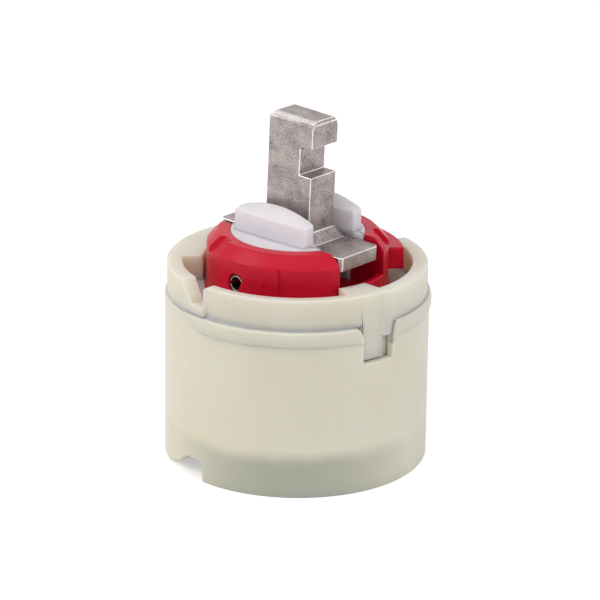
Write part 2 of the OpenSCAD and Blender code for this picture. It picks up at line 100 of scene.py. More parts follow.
class Graph:
    """Node tree of one material or world, emptied and ready to be filled."""

    def __init__(self, owner: Any) -> None:
        """Empties the owner's node tree.

        Args:
            owner: A material or a world.
        """
        owner.use_nodes = True
        self.tree = owner.node_tree
        self.tree.nodes.clear()

    def add(self, kind: str, links: dict[Any, Any] | None = None, **settings: Any) -> Any:
        """Adds one node, with its settings and what goes into its sockets.

        Args:
            kind: The node's type, without the words ShaderNode.
            links: By socket name or index, an output socket to link or a value to set.
            **settings: The node's own properties.

        Returns:
            The new node.
        """
        node = self.tree.nodes.new("ShaderNode" + kind)
        for name, value in settings.items():
            setattr(node, name, value)
        for name, value in (links or {}).items():
            socket = node.inputs[name]
            if isinstance(value, bpy.types.NodeSocket):
                self.tree.links.new(value, socket)
            else:
                socket.default_value = value
        return node


def ramp(graph: Graph, value: Any, stops: list[tuple[float, str]]) -> Any:
    """Colours a value by stops along a ramp.

    Args:
        graph: The tree that the node goes into.
        value: The socket that drives the ramp.
        stops: Position and sRGB hex colour of each stop, in order.

    Returns:
        The colour output.
    """
    node = graph.add("ValToRGB", {"Fac": value})
    for element, (place, colour) in zip(node.color_ramp.elements, stops):
        element.position = place
        element.color = linear(colour)
    return node.outputs["Color"]


@dataclass(frozen=True)
class Finish:
    """What the finishes share: a name, and one shader whose sockets each kind of finish fills."""

    name: str

    def material(self) -> Material:
        """Builds the material.

        Returns:
            The material, with its nodes in place.
        """
        made = bpy.data.materials.new(self.name)
        g = Graph(made)
        place = g.add("TexCoord").outputs["Object"]
        shader = g.add("BsdfPrincipled", self.sockets(g, place))
        g.add("OutputMaterial", {"Surface": shader.outputs[0]})
        return made

    def sockets(self, g: Graph, place: Any) -> dict[str, Any]:
        """Lays the nodes of the finish.

        Args:
            g: The material's tree.
            place: Object coordinates, in metres.

        Returns:
            What goes into the shader's sockets.
        """
        raise NotImplementedError


@dataclass(frozen=True)
class PaintedBaseShade:
    """Painted shade of the dark base plate behind the milky wall: a grey band low on the sleeve."""

    # colour of the painted shade where the band is full
    colour: str = "#98a297"
    # heights where the band starts and where it is full
    heights_mm: Pair = (9.2, 5.8)
    ripple_mm: float = 9.0
    ripple_height_mm: float = 1.2
    # the base leans against the wall at this angle, and the painted shade is strongest there
    lean_deg: float = -50.0
    reach_mm: Pair = (12.0, 23.4)
    strengths: Pair = (0.1, 0.72)

    def over(self, g: Graph, place: Any, colour: Any) -> Any:
        """Paints the band of shade over a colour.

        Args:
            g: The material's tree.
            place: Object coordinates, in metres.
            colour: The wall's colour without the band.

        Returns:
            The wall's colour with the painted shade.
        """
        lean, lift = math.radians(self.lean_deg), self.ripple_height_mm * MM
        split = g.add("SeparateXYZ", {"Vector": place})
        ripple = g.add("TexNoise", {
            "Vector": place, "Scale": 1 / (self.ripple_mm * MM), "Detail": 2.0})
        lifted = g.add("MapRange", {
            "Value": ripple.outputs["Fac"], "To Min": -lift, "To Max": lift})
        height = g.add("Math", {0: split.outputs["Z"], 1: lifted.outputs[0]}, operation="ADD")
        start, full = self.heights_mm
        band = g.add("MapRange", {
            "Value": height.outputs[0], "From Min": start * MM, "From Max": full * MM,
        }, interpolation_type="SMOOTHSTEP")
        towards = g.add("VectorMath", {0: place, 1: (math.cos(lean), math.sin(lean), 0.0)},
                        operation="DOT_PRODUCT")
        near, far = self.reach_mm
        strength = g.add("MapRange", {
            "Value": towards.outputs["Value"], "From Min": near * MM, "From Max": far * MM,
            "To Min": self.strengths[0], "To Max": self.strengths[1]})
        amount = g.add("Math", {0: band.outputs[0], 1: strength.outputs[0]}, operation="MULTIPLY")
        # sockets 6 and 7 and output 2 are the ones that carry colour
        mixed = g.add("Mix", {0: amount.outputs[0], 6: colour, 7: linear(self.colour)},
                      data_type="RGBA")
        return mixed.outputs[2]


@dataclass(frozen=True)
class Moulded(Finish):
    """Moulded plastic, rubber or ceramic: a slow drift of colour under the skin of the mould."""

    first: str
    second: str
    roughness: float
    gloss_change: float = 0.05
    ior: float = 1.5
    specular: float = 0.5
    # how much light goes in, how far, and how far for each colour
    scatter: float = 0.0
    scatter_mm: float = 1.0
    reach: Triple = (1.0, 0.9, 0.9)
    # length and detail of the colour's drift, and where in it the two colours lie
    drift: Pair = (5.0, 3.0)
    stops: Pair = (0.35, 0.65)
    # length, detail and roughness of the skin's grain, its relief, and the slow wave under it
    skin: Triple = (0.2, 2.0, 0.5)
    strength: float = 0.3
    relief_mm: float = 0.012
    wave_mm: float = 0.0
    # painted shade of a dark piece behind the wall, laid over the colour where given
    shade: PaintedBaseShade | None = None

    def sockets(self, g: Graph, place: Any) -> dict[str, Any]:
        """Lays the drift of colour, the painted shade of the base if given, and the mould's skin.

        Args:
            g: The material's tree.
            place: Object coordinates, in metres.

        Returns:
            What goes into the shader's sockets.
        """
        (drift_mm, drift_detail), (grain_mm, detail, grit) = self.drift, self.skin
        wave = drift = g.add("TexNoise", {
            "Vector": place, "Scale": 1 / (drift_mm * MM), "Detail": drift_detail}).outputs["Fac"]
        colour = ramp(g, drift, list(zip(self.stops, (self.first, self.second))))
        # paints the shade of the base plate behind the wall into the colour
        if self.shade:
            colour = self.shade.over(g, place, colour)
        height = g.add("TexNoise", {
            "Vector": place, "Scale": 1 / (grain_mm * MM), "Detail": detail, "Roughness": grit,
        }).outputs["Fac"]
        if self.wave_mm:
            wave = g.add("TexNoise", {
                "Vector": place, "Scale": 1 / (self.wave_mm * MM), "Detail": 1.0}).outputs["Fac"]
            height = g.add("Math", {0: height, 1: wave}, operation="ADD").outputs[0]
        bump = g.add("Bump", {
            "Height": height, "Strength": self.strength, "Distance": self.relief_mm * MM})
        gloss = g.add("MapRange", {"Value": wave, "To Min": self.roughness - self.gloss_change,
                                   "To Max": self.roughness + self.gloss_change})
        sockets = {
            "Base Color": colour, "Roughness": gloss.outputs[0], "Normal": bump.outputs["Normal"],
            "IOR": self.ior, "Specular IOR Level": self.specular}
        if self.scatter:
            sockets |= {"Subsurface Weight": self.scatter, "Subsurface Radius": self.reach,
                        "Subsurface Scale": self.scatter_mm * MM}
        return sockets


@dataclass(frozen=True)
class NaturalAcetal(Moulded):
    """Injection-moulded acetal in its natural colour: milky, satin and slightly translucent.

    Light goes a few millimetres into it, so edges glow. A dark piece behind the wall shows only as
    a painted shade.
    """

    roughness: float = 0.42
    gloss_change: float = 0.06
    ior: float = 1.48
    reach: Triple = (1.0, 0.85, 0.6)
    drift: Pair = (14.0, 2.0)
    stops: Pair = (0.3, 0.7)
    skin: Triple = (0.25, 3.0, 0.6)
    strength: float = 0.25
    relief_mm: float = 0.02
    wave_mm: float = 4.0


@dataclass(frozen=True)
class SinteredSteel(Finish):
    """Stainless steel, pressed from powder, sintered and tumbled: satin, with fine pits."""

    light: str
    dark: str
    roughness: float = 0.42
    # how much smoother and rougher the gloss gets from grain to grain
    gloss_change: Pair = (0.12, 0.16)
    # powder grains, drawn this coarse so that they show, and the clouds over them
    grain_mm: float = 0.3
    cloud_mm: float = 2.5
    relief_mm: float = 0.035

    def sockets(self, g: Graph, place: Any) -> dict[str, Any]:
        """Lays the powder's grains and the clouds over them, in colour, gloss and relief.

        Args:
            g: The material's tree.
            place: Object coordinates, in metres.

        Returns:
            What goes into the shader's sockets.
        """
        grain = g.add("TexNoise", {
            "Vector": place, "Scale": 1 / (self.grain_mm * MM), "Detail": 4.0, "Roughness": 0.75})
        cloud = g.add("TexNoise", {
            "Vector": place, "Scale": 1 / (self.cloud_mm * MM), "Detail": 3.0, "Roughness": 0.6})
        # the grains count 2.2 times as much as the clouds
        both = g.add("Math", {0: grain.outputs["Fac"], 1: 2.2, 2: cloud.outputs["Fac"]},
                     operation="MULTIPLY_ADD")
        shade = g.add("MapRange", {"Value": both.outputs[0], "From Min": 1.1, "From Max": 1.85})
        colour = ramp(g, shade.outputs[0], [(0.0, self.dark), (1.0, self.light)])
        gloss = g.add("MapRange", {
            "Value": grain.outputs["Fac"], "To Min": self.roughness - self.gloss_change[0],
            "To Max": self.roughness + self.gloss_change[1]})
        bump = g.add("Bump", {
            "Height": grain.outputs["Fac"], "Strength": 0.55, "Distance": self.relief_mm * MM})
        return {"Base Color": colour, "Metallic": 1.0, "Roughness": gloss.outputs[0],
                "Normal": bump.outputs["Normal"]}


def smooth(value: Array, start: float, end: float) -> Array:
    """A soft step from 0 to 1: three times the part squared, less twice its cube."""
    part = np.clip((value - start) / (end - start), 0, 1)
    return part * part * (3 - 2 * part)


def between(value: Array, start: float, end: float, rise: float, fall: float) -> Array:
    """1 from start to end and 0 elsewhere, with a soft step inwards from each: rise, then fall."""
    return smooth(value, start, start + rise) * smooth(-value, -end, fall - end)


def quarter(count: int) -> Array:
    """Angles at even steps over a quarter turn, as many as the count."""
    return np.linspace(0, math.pi / 2, count)


def unrolled(degrees: float, radius: float) -> float:
    """Distance across an unrolled wall of this radius at an angle."""
    return math.radians(degrees) * radius


def level(start: float, end: float, height: float) -> Array:
    """A level stretch of a path, from its start to its end."""
    return np.array([[start, height], [end, height]], float)


def around(radius: Array, angle: Array, along: Array) -> Array:
    """Points round the upright axis: radius times the angle's cosine and sine, and along."""
    return np.stack(np.broadcast_arrays(radius * np.cos(angle), radius * np.sin(angle), along), -1)


def eased(corners: list[Triple], steps: int = 5) -> Array:
    """A flat path whose corners are eased by arcs.

    An arc touches both runs at its radius times the tangent of half the turn from the corner, and
    its points turn evenly round its centre.

    Args:
        corners: Across, along and radius of each corner. The first and last have no arc.
        steps: Steps in each arc.

    Returns:
        The points of the path, one row each.
    """
    flat = np.array([corner[:2] for corner in corners], float)
    runs = [flat[:1]]
    for before, here, after, (_, _, radius) in zip(flat[:-2], flat[1:-1], flat[2:], corners[1:-1]):
        into = (here - before) / np.linalg.norm(here - before)
        out = (after - here) / np.linalg.norm(after - here)
        turn = math.atan2(into[0] * out[1] - into[1] * out[0], float(into @ out))
        start = here - into * radius * math.tan(abs(turn) / 2)
        centre = start + math.copysign(radius, turn) * np.array([-into[1], into[0]])
        first = math.atan2(start[1] - centre[1], start[0] - centre[0])
        angle = first + np.linspace(0, turn, steps + 1)
        arc = centre + radius * np.column_stack([np.cos(angle), np.sin(angle)])
        runs.append(arc if radius else here[None])
    runs.append(flat[-1:])
    return np.concatenate(runs)


def spaced(path: Array, count: int) -> Array:
    """Points at even steps of length along a path.

    Args:
        path: The path's points, one row each.
        count: How many points to return.

    Returns:
        The new points, from the path's start to its end.
    """
    steps = np.linalg.norm(np.diff(path, axis=0), axis=1)
    length = np.concatenate([[0.0], np.cumsum(steps)])
    at = np.linspace(0, length[-1], count)
    return np.column_stack([np.interp(at, length, path[:, i]) for i in range(path.shape[1])])


def paired(sections: list[tuple[Array, Array]], pitch: float, ring: bool) -> tuple[Array, Array]:
    """Cuts two paths into the same number of steps, section by section.

    Args:
        sections: A stretch of the upper path and the stretch of the lower path under it.
        pitch: Longest step, in millimetres.
        ring: Whether the last point is the first one again.

    Returns:
        The points of the upper path and those of the lower path.
    """
    upper, lower = [], []
    for pair in sections:
        longest = max(np.linalg.norm(np.diff(path, axis=0), axis=1).sum() for path in pair)
        count = max(2, math.ceil(longest / pitch) + 1)
        for points, path in zip((upper, lower), pair):
            points.append(spaced(path, count)[:-1])
    if not ring:
        for points, path in zip((upper, lower), sections[-1]):
            points.append(path[-1:])
    return np.concatenate(upper), np.concatenate(lower)


def rounded_edge(radius: float) -> tuple[Array, Array]:
    """Inset and depth of the rows over an edge: the radius less its sine, and less its cosine."""
    turn = quarter(EDGE_STEPS + 1)
    return radius * (1 - np.sin(turn)), radius * (1 - np.cos(turn))


def woven(points: Array, ring: bool) -> Mesh:
    """Makes a mesh from a grid of points.

    Each row is one line round the piece, and the last row is followed by the first. Quads join each
    point to the next in its row and in its column.

    Args:
        points: Rows by columns by X, Y and Z, in millimetres.
        ring: Whether the columns close on themselves too. If not, the end columns fold shut.

    Returns:
        The mesh, in millimetres.
    """
    rows, columns = points.shape[:2]
    index = np.arange(rows * columns).reshape(rows, columns)
    right = np.roll(index, -1, axis=1)
    if not ring:
        index, right = index[:, :-1], right[:, :-1]
    quads = np.stack([index, np.roll(index, -1, axis=0), np.roll(right, -1, axis=0), right], -1)
    mesh = bpy.data.meshes.new("woven")
    mesh.from_pydata(points.reshape(-1, 3).tolist(), [], quads.reshape(-1, 4).tolist())
    bm = bmesh.new()
    bm.from_mesh(mesh)
    bmesh.ops.remove_doubles(bm, verts=bm.verts, dist=TOUCHING)
    bmesh.ops.delete(bm, geom=[edge for edge in bm.edges if edge.is_wire], context="EDGES")
    bm.to_mesh(mesh)
    bm.free()
    return mesh


@dataclass
class WrappedWall:
    """A wall of even thickness wrapped round an axis, with all its edges rounded.

    It is drawn flat first, as an upper and a lower path whose points lie in pairs. Each edge is a
    quarter circle of the edge's radius, carried along the path square to it, and the faces are
    ruled between the two paths. Across then becomes an angle about the axis, which is the distance
    across over the radius that it was drawn at. A face is one radius, or a function of across and
    along.
    """

    top: Array
    bottom: Array
    drawn_at: float
    outer: Form | float
    inner: Form | float
    edge: float
    ring: bool = False
    rulings: tuple[float, ...] = (0.25, 0.5, 0.75)
    turn: Form | None = None

    def _outwards(self, path: Array, side: int) -> Array:
        """Finds which way the wall's rim faces.

        Args:
            path: The upper or the lower path.
            side: 1 for the upper and -1 for the lower path.

        Returns:
            Unit vectors square to the path, away from the wall.
        """
        if self.ring:
            whole = np.array([2 * math.pi * self.drawn_at, 0.0])
            path = np.concatenate([path[-1:] - whole, path, path[:1] + whole])
            along = path[2:] - path[:-2]
        else:
            along = np.gradient(path, axis=0)
        along = along / np.linalg.norm(along, axis=1, keepdims=True)
        return side * np.column_stack([-along[:, 1], along[:, 0]])

    def flat_rows(self) -> tuple[Array, Array]:
        """Works out the rows of the flat wall.

        Returns:
            Across and along, rows by columns by 2, and each row's depth below its face.
        """
        inset, depth = rounded_edge(self.edge)
        upper, lower = (path - inset[:, None, None] * self._outwards(path, side)
                        for path, side in ((self.top, 1), (self.bottom, -1)))
        spine = (upper[0] + lower[0]) / 2
        if not self.ring:
            half = 0.5 * np.abs(upper[0] - lower[0])[:, 1].max()
            left, right = spine[:, 0].min() + half, spine[:, 0].max() - half
            spine[:, 0] = np.clip(spine[:, 0], min(left, right), max(left, right))
        part = np.array(self.rulings)[:, None, None]
        above = upper[0] + (spine - upper[0]) * np.minimum(2 * part, 1)
        face = above + (lower[0] - spine) * np.maximum(2 * part - 1, 0)
        rows = np.concatenate([upper[::-1], face, lower])
        return rows, np.concatenate([depth[::-1], np.zeros(len(self.rulings)), depth])

    def points(self) -> Array:
        """Wraps the rows round an upright axis, down the outer face and up the inner one.

        Returns:
            The wall's grid: radius times cosine and sine of the angle, and along.
        """
        rows, depth = self.flat_rows()
        outside, inside = (
            face(rows[..., 0], rows[..., 1]) if callable(face) else np.full(rows.shape[:2], face)
            for face in (self.outer, self.inner))
        radius = np.concatenate([outside - depth[:, None], (inside + depth[:, None])[::-1]])
        flat = np.concatenate([rows, rows[::-1]])
        angle = self.turn(flat[..., 0], radius) if self.turn else flat[..., 0] / self.drawn_at
        return around(radius, angle, flat[..., 1])

    def mesh(self) -> Mesh:
        """The wall's mesh, in millimetres."""
        return woven(self.points(), self.ring)


def arc_block(angles: Pair, heights: Pair, radii: Pair, corner: float, edge: float,
              lean: float = 0.0) -> Mesh:
    """A block between two angles, two heights and two radii, with rounded corners and edges.

    Args:
        angles: Where it starts and ends round the axis, in degrees.
        heights: Its lower and upper height.
        radii: Its inner and outer radius.
        corner: Radius of its corners, seen from outside.
        edge: Radius of its edges.
        lean: How far the top of its starting end lies beyond the bottom, round the axis.

    Returns:
        The block's mesh, in millimetres.
    """
    low, high = heights
    left, right = (unrolled(angle, radii[1]) for angle in angles)
    start, end = (left + lean / 2, (low + high) / 2, 0), (right, (low + high) / 2, 0)
    top = eased([start, (left + lean, high, corner), (right, high, corner), end])
    bottom = eased([start, (left, low, corner), (right, low, corner), end])
    upper, lower = paired([(top, bottom)], FINE_PITCH, ring=False)
    return WrappedWall(upper, lower, radii[1], radii[1], radii[0], edge).mesh()


def turned(corners: list[Triple], columns: int = 160) -> Mesh:
    """Carries a closed profile once round the upright axis.

    A point of the grid is the profile's radius times the angle's cosine and sine, and its height.

    Args:
        corners: Radius, height and easing of the profile's corners, down its outer side and up its
            inner side, from the middle of a straight run back to it.
        columns: Steps round the axis.

    Returns:
        The mesh, in millimetres.
    """
    profile = eased(corners)
    angle = np.linspace(0, 2 * math.pi, columns, endpoint=False)
    return woven(around(profile[:, :1], angle, profile[:, 1:]), ring=True)


def wrapped_lip(upper: Array, lower: Array, radius: float, out: float) -> Mesh:
    """Makes a bulging strip on a round wall, between two edges whose points lie in pairs.

    Across the strip it is half an ellipse: it stands out of the wall by its height times the root
    of one less the square of the place across, counted from -1 to 1. Narrow, it stands out less.

    Args:
        upper: Across and along of its upper edge.
        lower: The same for its lower edge.
        radius: The wall's radius.
        out: How far the strip stands out of the wall.

    Returns:
        The mesh, in millimetres.
    """
    full_width, edge_sink, back_sink = 1.2, 0.02, 0.8
    place = -np.cos(np.linspace(0, math.pi, 13))
    flat = upper + (lower - upper) * ((place + 1) / 2)[:, None, None]
    full = np.minimum(np.linalg.norm(lower - upper, axis=1) / full_width, 1)
    rise = out * np.sqrt(np.clip(1 - place**2, 0, 1))[:, None] * full
    far = np.concatenate([radius - edge_sink + rise, np.full_like(rise, radius - back_sink)])
    flat = np.concatenate([flat, flat[::-1]])
    return woven(around(far, flat[..., 0] / radius, flat[..., 1]), ring=False)


def plate(outline: Array, low: float, high: float, edge: float = 0.25) -> Mesh:
    """Makes a flat plate of any rounded outline, with eased upper and lower edges.

    Each row is the outline drawn in by the edge's inset at its height, and the first and last rows
    shrink to the outline's middle, so that fans close the plate above and below.

    Args:
        outline: The points of the outline, going round from X towards Y.
        low: Height of its lower face.
        high: Height of its upper face.
        edge: Radius of its edges.

    Returns:
        The mesh, in millimetres.
    """
    inset, rise = rounded_edge(edge)
    along = np.roll(outline, -1, axis=0) - np.roll(outline, 1, axis=0)
    along /= np.linalg.norm(along, axis=1, keepdims=True)
    outwards = np.column_stack([along[:, 1], -along[:, 0]])
    middle = np.broadcast_to(outline.mean(axis=0), outline.shape)[None]
    insets = np.concatenate([inset, inset[::-1]])[:, None, None]
    flat = np.concatenate([middle, outline - insets * outwards, middle])
    tall = np.concatenate([[low], low + rise, high - rise[::-1], [high]])
    tall = np.broadcast_to(tall[:, None, None], (*flat.shape[:2], 1))
    return woven(np.concatenate([flat, tall], axis=-1)[::-1], ring=True)


def cut_disc(radius: float, cut: float, side: int, corner: float = 0.3) -> Array:
    """Outline of the part of a disc that lies beyond a straight cut along X.

    Args:
        radius: The disc's radius.
        cut: Distance of the cut from the middle.
        side: 1 for the part at positive Y and -1 for the part at negative Y.
        corner: Radius of its two corners.

    Returns:
        The points of the outline, going round from X towards Y.
    """
    end = math.asin(cut / radius)
    angle = np.linspace(end, math.pi - end, 80)
    arc = np.column_stack([radius * np.cos(angle), radius * np.sin(angle)])
    path = eased([(0.0, cut, 0.0), (*arc[0], corner), *[(*point, 0.0) for point in arc[1:-1]],
                  (*arc[-1], corner), (-CLOSING, cut, 0.0)], 3)[:-1] * [1, side]
    return path if side > 0 else path[::-1]


def moved(mesh: Mesh, change: Callable[[Array], Array]) -> None:
    """Moves the points of a mesh.

    Args:
        mesh: The mesh.
        change: Takes the points, one row each, and returns their new places.
    """
    points = np.empty(len(mesh.vertices) * 3, np.float32)
    mesh.vertices.foreach_get("co", points)
    mesh.vertices.foreach_set("co", change(points.reshape(-1, 3)).ravel())
    mesh.update()


def placed(name: str, data: Any) -> bpy.types.Object:
    """Puts a new object into the scene.

    Args:
        name: Its name.
        data: Its mesh, light or camera.

    Returns:
        The object.
    """
    made = bpy.data.objects.new(name, data)
    bpy.context.scene.collection.objects.link(made)
    return made


def settle(name: str, mesh: Mesh, body: Body, slot: str, stands_for: str, *finishes: Material,
           rounds: dict[str, Any] | None = None) -> None:
    """Gives a mesh its finish, rounds and normals, and puts the piece in its place.

    Args:
        name: The piece's name.
        mesh: Its mesh, in millimetres.
        body: The body that it rides on.
        slot: The record's material slot; not used.
        stands_for: The node that it replaces.
        *finishes: Its material, and that of its edges where it has them: smoothed by wear, and
                   painted brighter as a highlight.
        rounds: Settings of the bevel that rounds its edges, where they aren't round yet.
    """
    mesh.shade_smooth()
    for finish in finishes:
        mesh.materials.append(finish)
    draft = placed(name + "_draft", mesh)
    normals = {"mode": "FACE_AREA", "weight": 80}
    for kind, settings in (("BEVEL", rounds or {}), ("WEIGHTED_NORMAL", normals)):
        modifier = draft.modifiers.new(kind, kind) if settings else None
        for key, value in settings.items():
            setattr(modifier, key, value)
    bpy.context.view_layer.update()
    ready = draft.evaluated_get(bpy.context.evaluated_depsgraph_get())
    done = bpy.data.meshes.new_from_object(ready)
    bpy.data.objects.remove(draft)
    moved(done, lambda points: points * MM)
    done.name = name
    piece = placed(name, done)
    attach(piece, body.value)
    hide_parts(stands_for)
    LOG.info("%s: %d faces", name, len(done.polygons))


@dataclass
class Sleeve:
    """Outer shell: a wall with a bead, a key slot, and a locating notch in its foot."""

    radius: float = 23.5
    bore: float = 21.9
    height: float = 30.27
    edge: float = 0.28
    # rulings lie close under the top and the foot, and evenly between
    rulings: tuple[float, ...] = (0.02, 0.05, 0.08, *np.linspace(0.12, 0.97, 12))
    slot_angle: float = -11.0
    slot_width: float = 6.4
    slot_depth: float = 6.5
    slot_corner: float = 0.35
    slot_reach: float = 7.5
    # across and down of the curve into the slot, on its left and on its right
    slot_curves: tuple[Pair, Pair] = ((1.5, 2.8), (1.3, 4.0))
    notch_angle: float = -106.0
    # across, height and easing of the notch's corners: its sloping side, then its upright one
    notch_slope: tuple[Triple, ...] = (
        (-8, 0, 0), (-6, 0, 2.5), (-4.1, 0.75, 2.0), (-1.5, 1.8, 2.0), (1.6, 3.8, 0.6),
        (5.4, 3.8, 0.35), (5.4, 3.44, 0))
    notch_upright: tuple[Triple, ...] = ((5.4, 3.44, 0), (5.4, 0, 0.5), (9, 0, 0))
    bead_out: float = 0.38
    bead_ends: Pair = (-106.0, 120.0)
    bead_width: float = 2.45
    bead_lap: float = 0.22
    bead_thin: float = 0.02
    bead_run: float = 6.0
    bead_blunt: float = 0.03
    # where the rear bead's tail starts beside the slot, and how far it runs
    bead_tail: Pair = (0.05, 2.2)
    # height of the bead's uneven lower edge, the lengths of its two waves, and how level it starts
    ripple: Triple = (0.09, 1.7, 0.63)
    ripple_within: float = 0.001
    # the lip that carries the base plate: its arc, its heights, and its inner and outer radius
    lip_arc: Pair = (-92.0, 238.0)
    lip_heights: Pair = (0.02, 1.0)
    lip_radii: Pair = (20.9, 22.1)

    def _slot_curves(self) -> tuple[Array, Array]:
        """Works out the quarter ellipses between the top and the key slot.

        Returns:
            The one on the left, going down into the slot, and the one on the right, going up.
        """
        slot, turn = unrolled(self.slot_angle, self.radius), quarter(CURVE_POINTS)[:, None]
        into, out = (
            np.hstack([slot + side * (self.slot_width / 2 + wide * (1 - np.cos(turn))),
                       self.height - tall * (1 - np.sin(turn))])
            for side, (wide, tall) in zip((-1, 1), self.slot_curves))
        return into[::-1], out

    def beads(self) -> dict[str, Mesh]:
        """Makes the soft bead along the top edge, in two stretches that end in the key slot.

        Returns:
            By name, the stretch in front, with a blunt end, and the one behind, with a tail.
        """
        into, out = self._slot_curves()
        low, thin, run = self.height - self.bead_width, self.bead_thin, self.bead_run
        start, end = (unrolled(angle, self.radius) for angle in self.bead_ends)
        part = np.linspace(0, 1, 20)[:, None]
        thinned = self.height - thin - (self.bead_width - thin) * smooth(part, 0, 1)
        (left, foot), turn = out[0], quarter(CURVE_POINTS)[:, None]
        gap, reach = self.bead_tail
        tail = np.hstack([left + gap + reach * (1 - np.cos(turn)),
                          foot + (low - foot) * np.sin(turn)])
        blunt = np.array([[into[0, 0], low], [into[-1, 0] - self.bead_blunt, into[-1, 1]]])
        sections = {
            "bead_front": [
                (level(start, start + run, self.height), np.hstack([start + run * part, thinned])),
                (level(start + run, into[0, 0], self.height), level(start + run, into[0, 0], low)),
                (into, blunt)],
            "bead_rear": [
                (out, tail),
                (level(out[-1, 0], end - run, self.height), level(tail[-1, 0], end - run, low)),
                (level(end - run, end, self.height), np.hstack([end - run * part, thinned])[::-1])],
        }
        meshes = {}
        for name, pairs in sections.items():
            upper, lower = paired(pairs, FINE_PITCH, ring=False)
            upper[:, 1] += self.bead_lap * smooth(upper[:, 1], self.height - 1, self.height)
            rise, long, short = self.ripple
            wave = rise * np.sin(lower[:, 0] / long) * np.sin(lower[:, 0] / short)
            lower[:, 1] += wave * (np.abs(lower[:, 1] - low) < self.ripple_within)
            meshes[name] = wrapped_lip(upper, lower, self.radius, self.bead_out)
        return meshes

    def wall(self) -> Mesh:
        """Makes the wall, whose top dips into the key slot and whose foot rises into the notch.

        Returns:
            The wall's mesh.
        """
        half, corner, reach = self.slot_width / 2, self.slot_corner, self.slot_reach
        floor = self.height - self.slot_depth
        slot, notch, whole = (unrolled(angle, self.radius)
                              for angle in (self.slot_angle, self.notch_angle, 180))
        slope, upright = ([(notch + x, z, radius) for x, z, radius in path]
                          for path in (self.notch_slope, self.notch_upright))
        ends = [-whole, slope[0][0], upright[0][0], upright[-1][0], slot - reach, slot - half,
                slot + half, slot + reach, whole]
        tops = [level(a, b, self.height) for a, b in zip(ends[:-1], ends[1:])]
        bottoms = [level(a, b, 0) for a, b in zip(ends[:-1], ends[1:])]
        bottoms[1:3] = eased(slope), eased(upright)
        into, out = self._slot_curves()
        left, right = slot - half, slot + half
        tops[4] = np.vstack([tops[4][:1], into, [[left, floor + corner]]])
        tops[5] = eased([(left, floor + corner, 0), (left, floor, corner), (right, floor, corner),
                         (right, floor + corner, 0)])
        tops[6] = np.vstack([[[right, floor + corner]], out, tops[6][1:]])
        upper, lower = paired(list(zip(tops, bottoms)), LONG_PITCH, ring=True)
        return WrappedWall(upper, lower, self.radius, self.radius, self.bore, self.edge, ring=True,
                           rulings=self.rulings).mesh()

    def build(self, finish: Material, bead_finish: Material) -> None:
        """Makes the wall, its beads, and the lip inside its foot that carries the base plate.

        Args:
            finish: The wall's material.
            bead_finish: The beads' material: the wall's acetal, less yellow, as painted light on
                the thin lip.
        """
        lip = arc_block(self.lip_arc, self.lip_heights, self.lip_radii, corner=0.1, edge=0.15)
        for part, mesh in {"wall": self.wall(), **self.beads(), "lip": lip}.items():
            settle(f"sleeve_{part}", mesh, Body.HOUSING, "sleeve_plastic", "sleeve",
                   bead_finish if "bead" in part else finish)


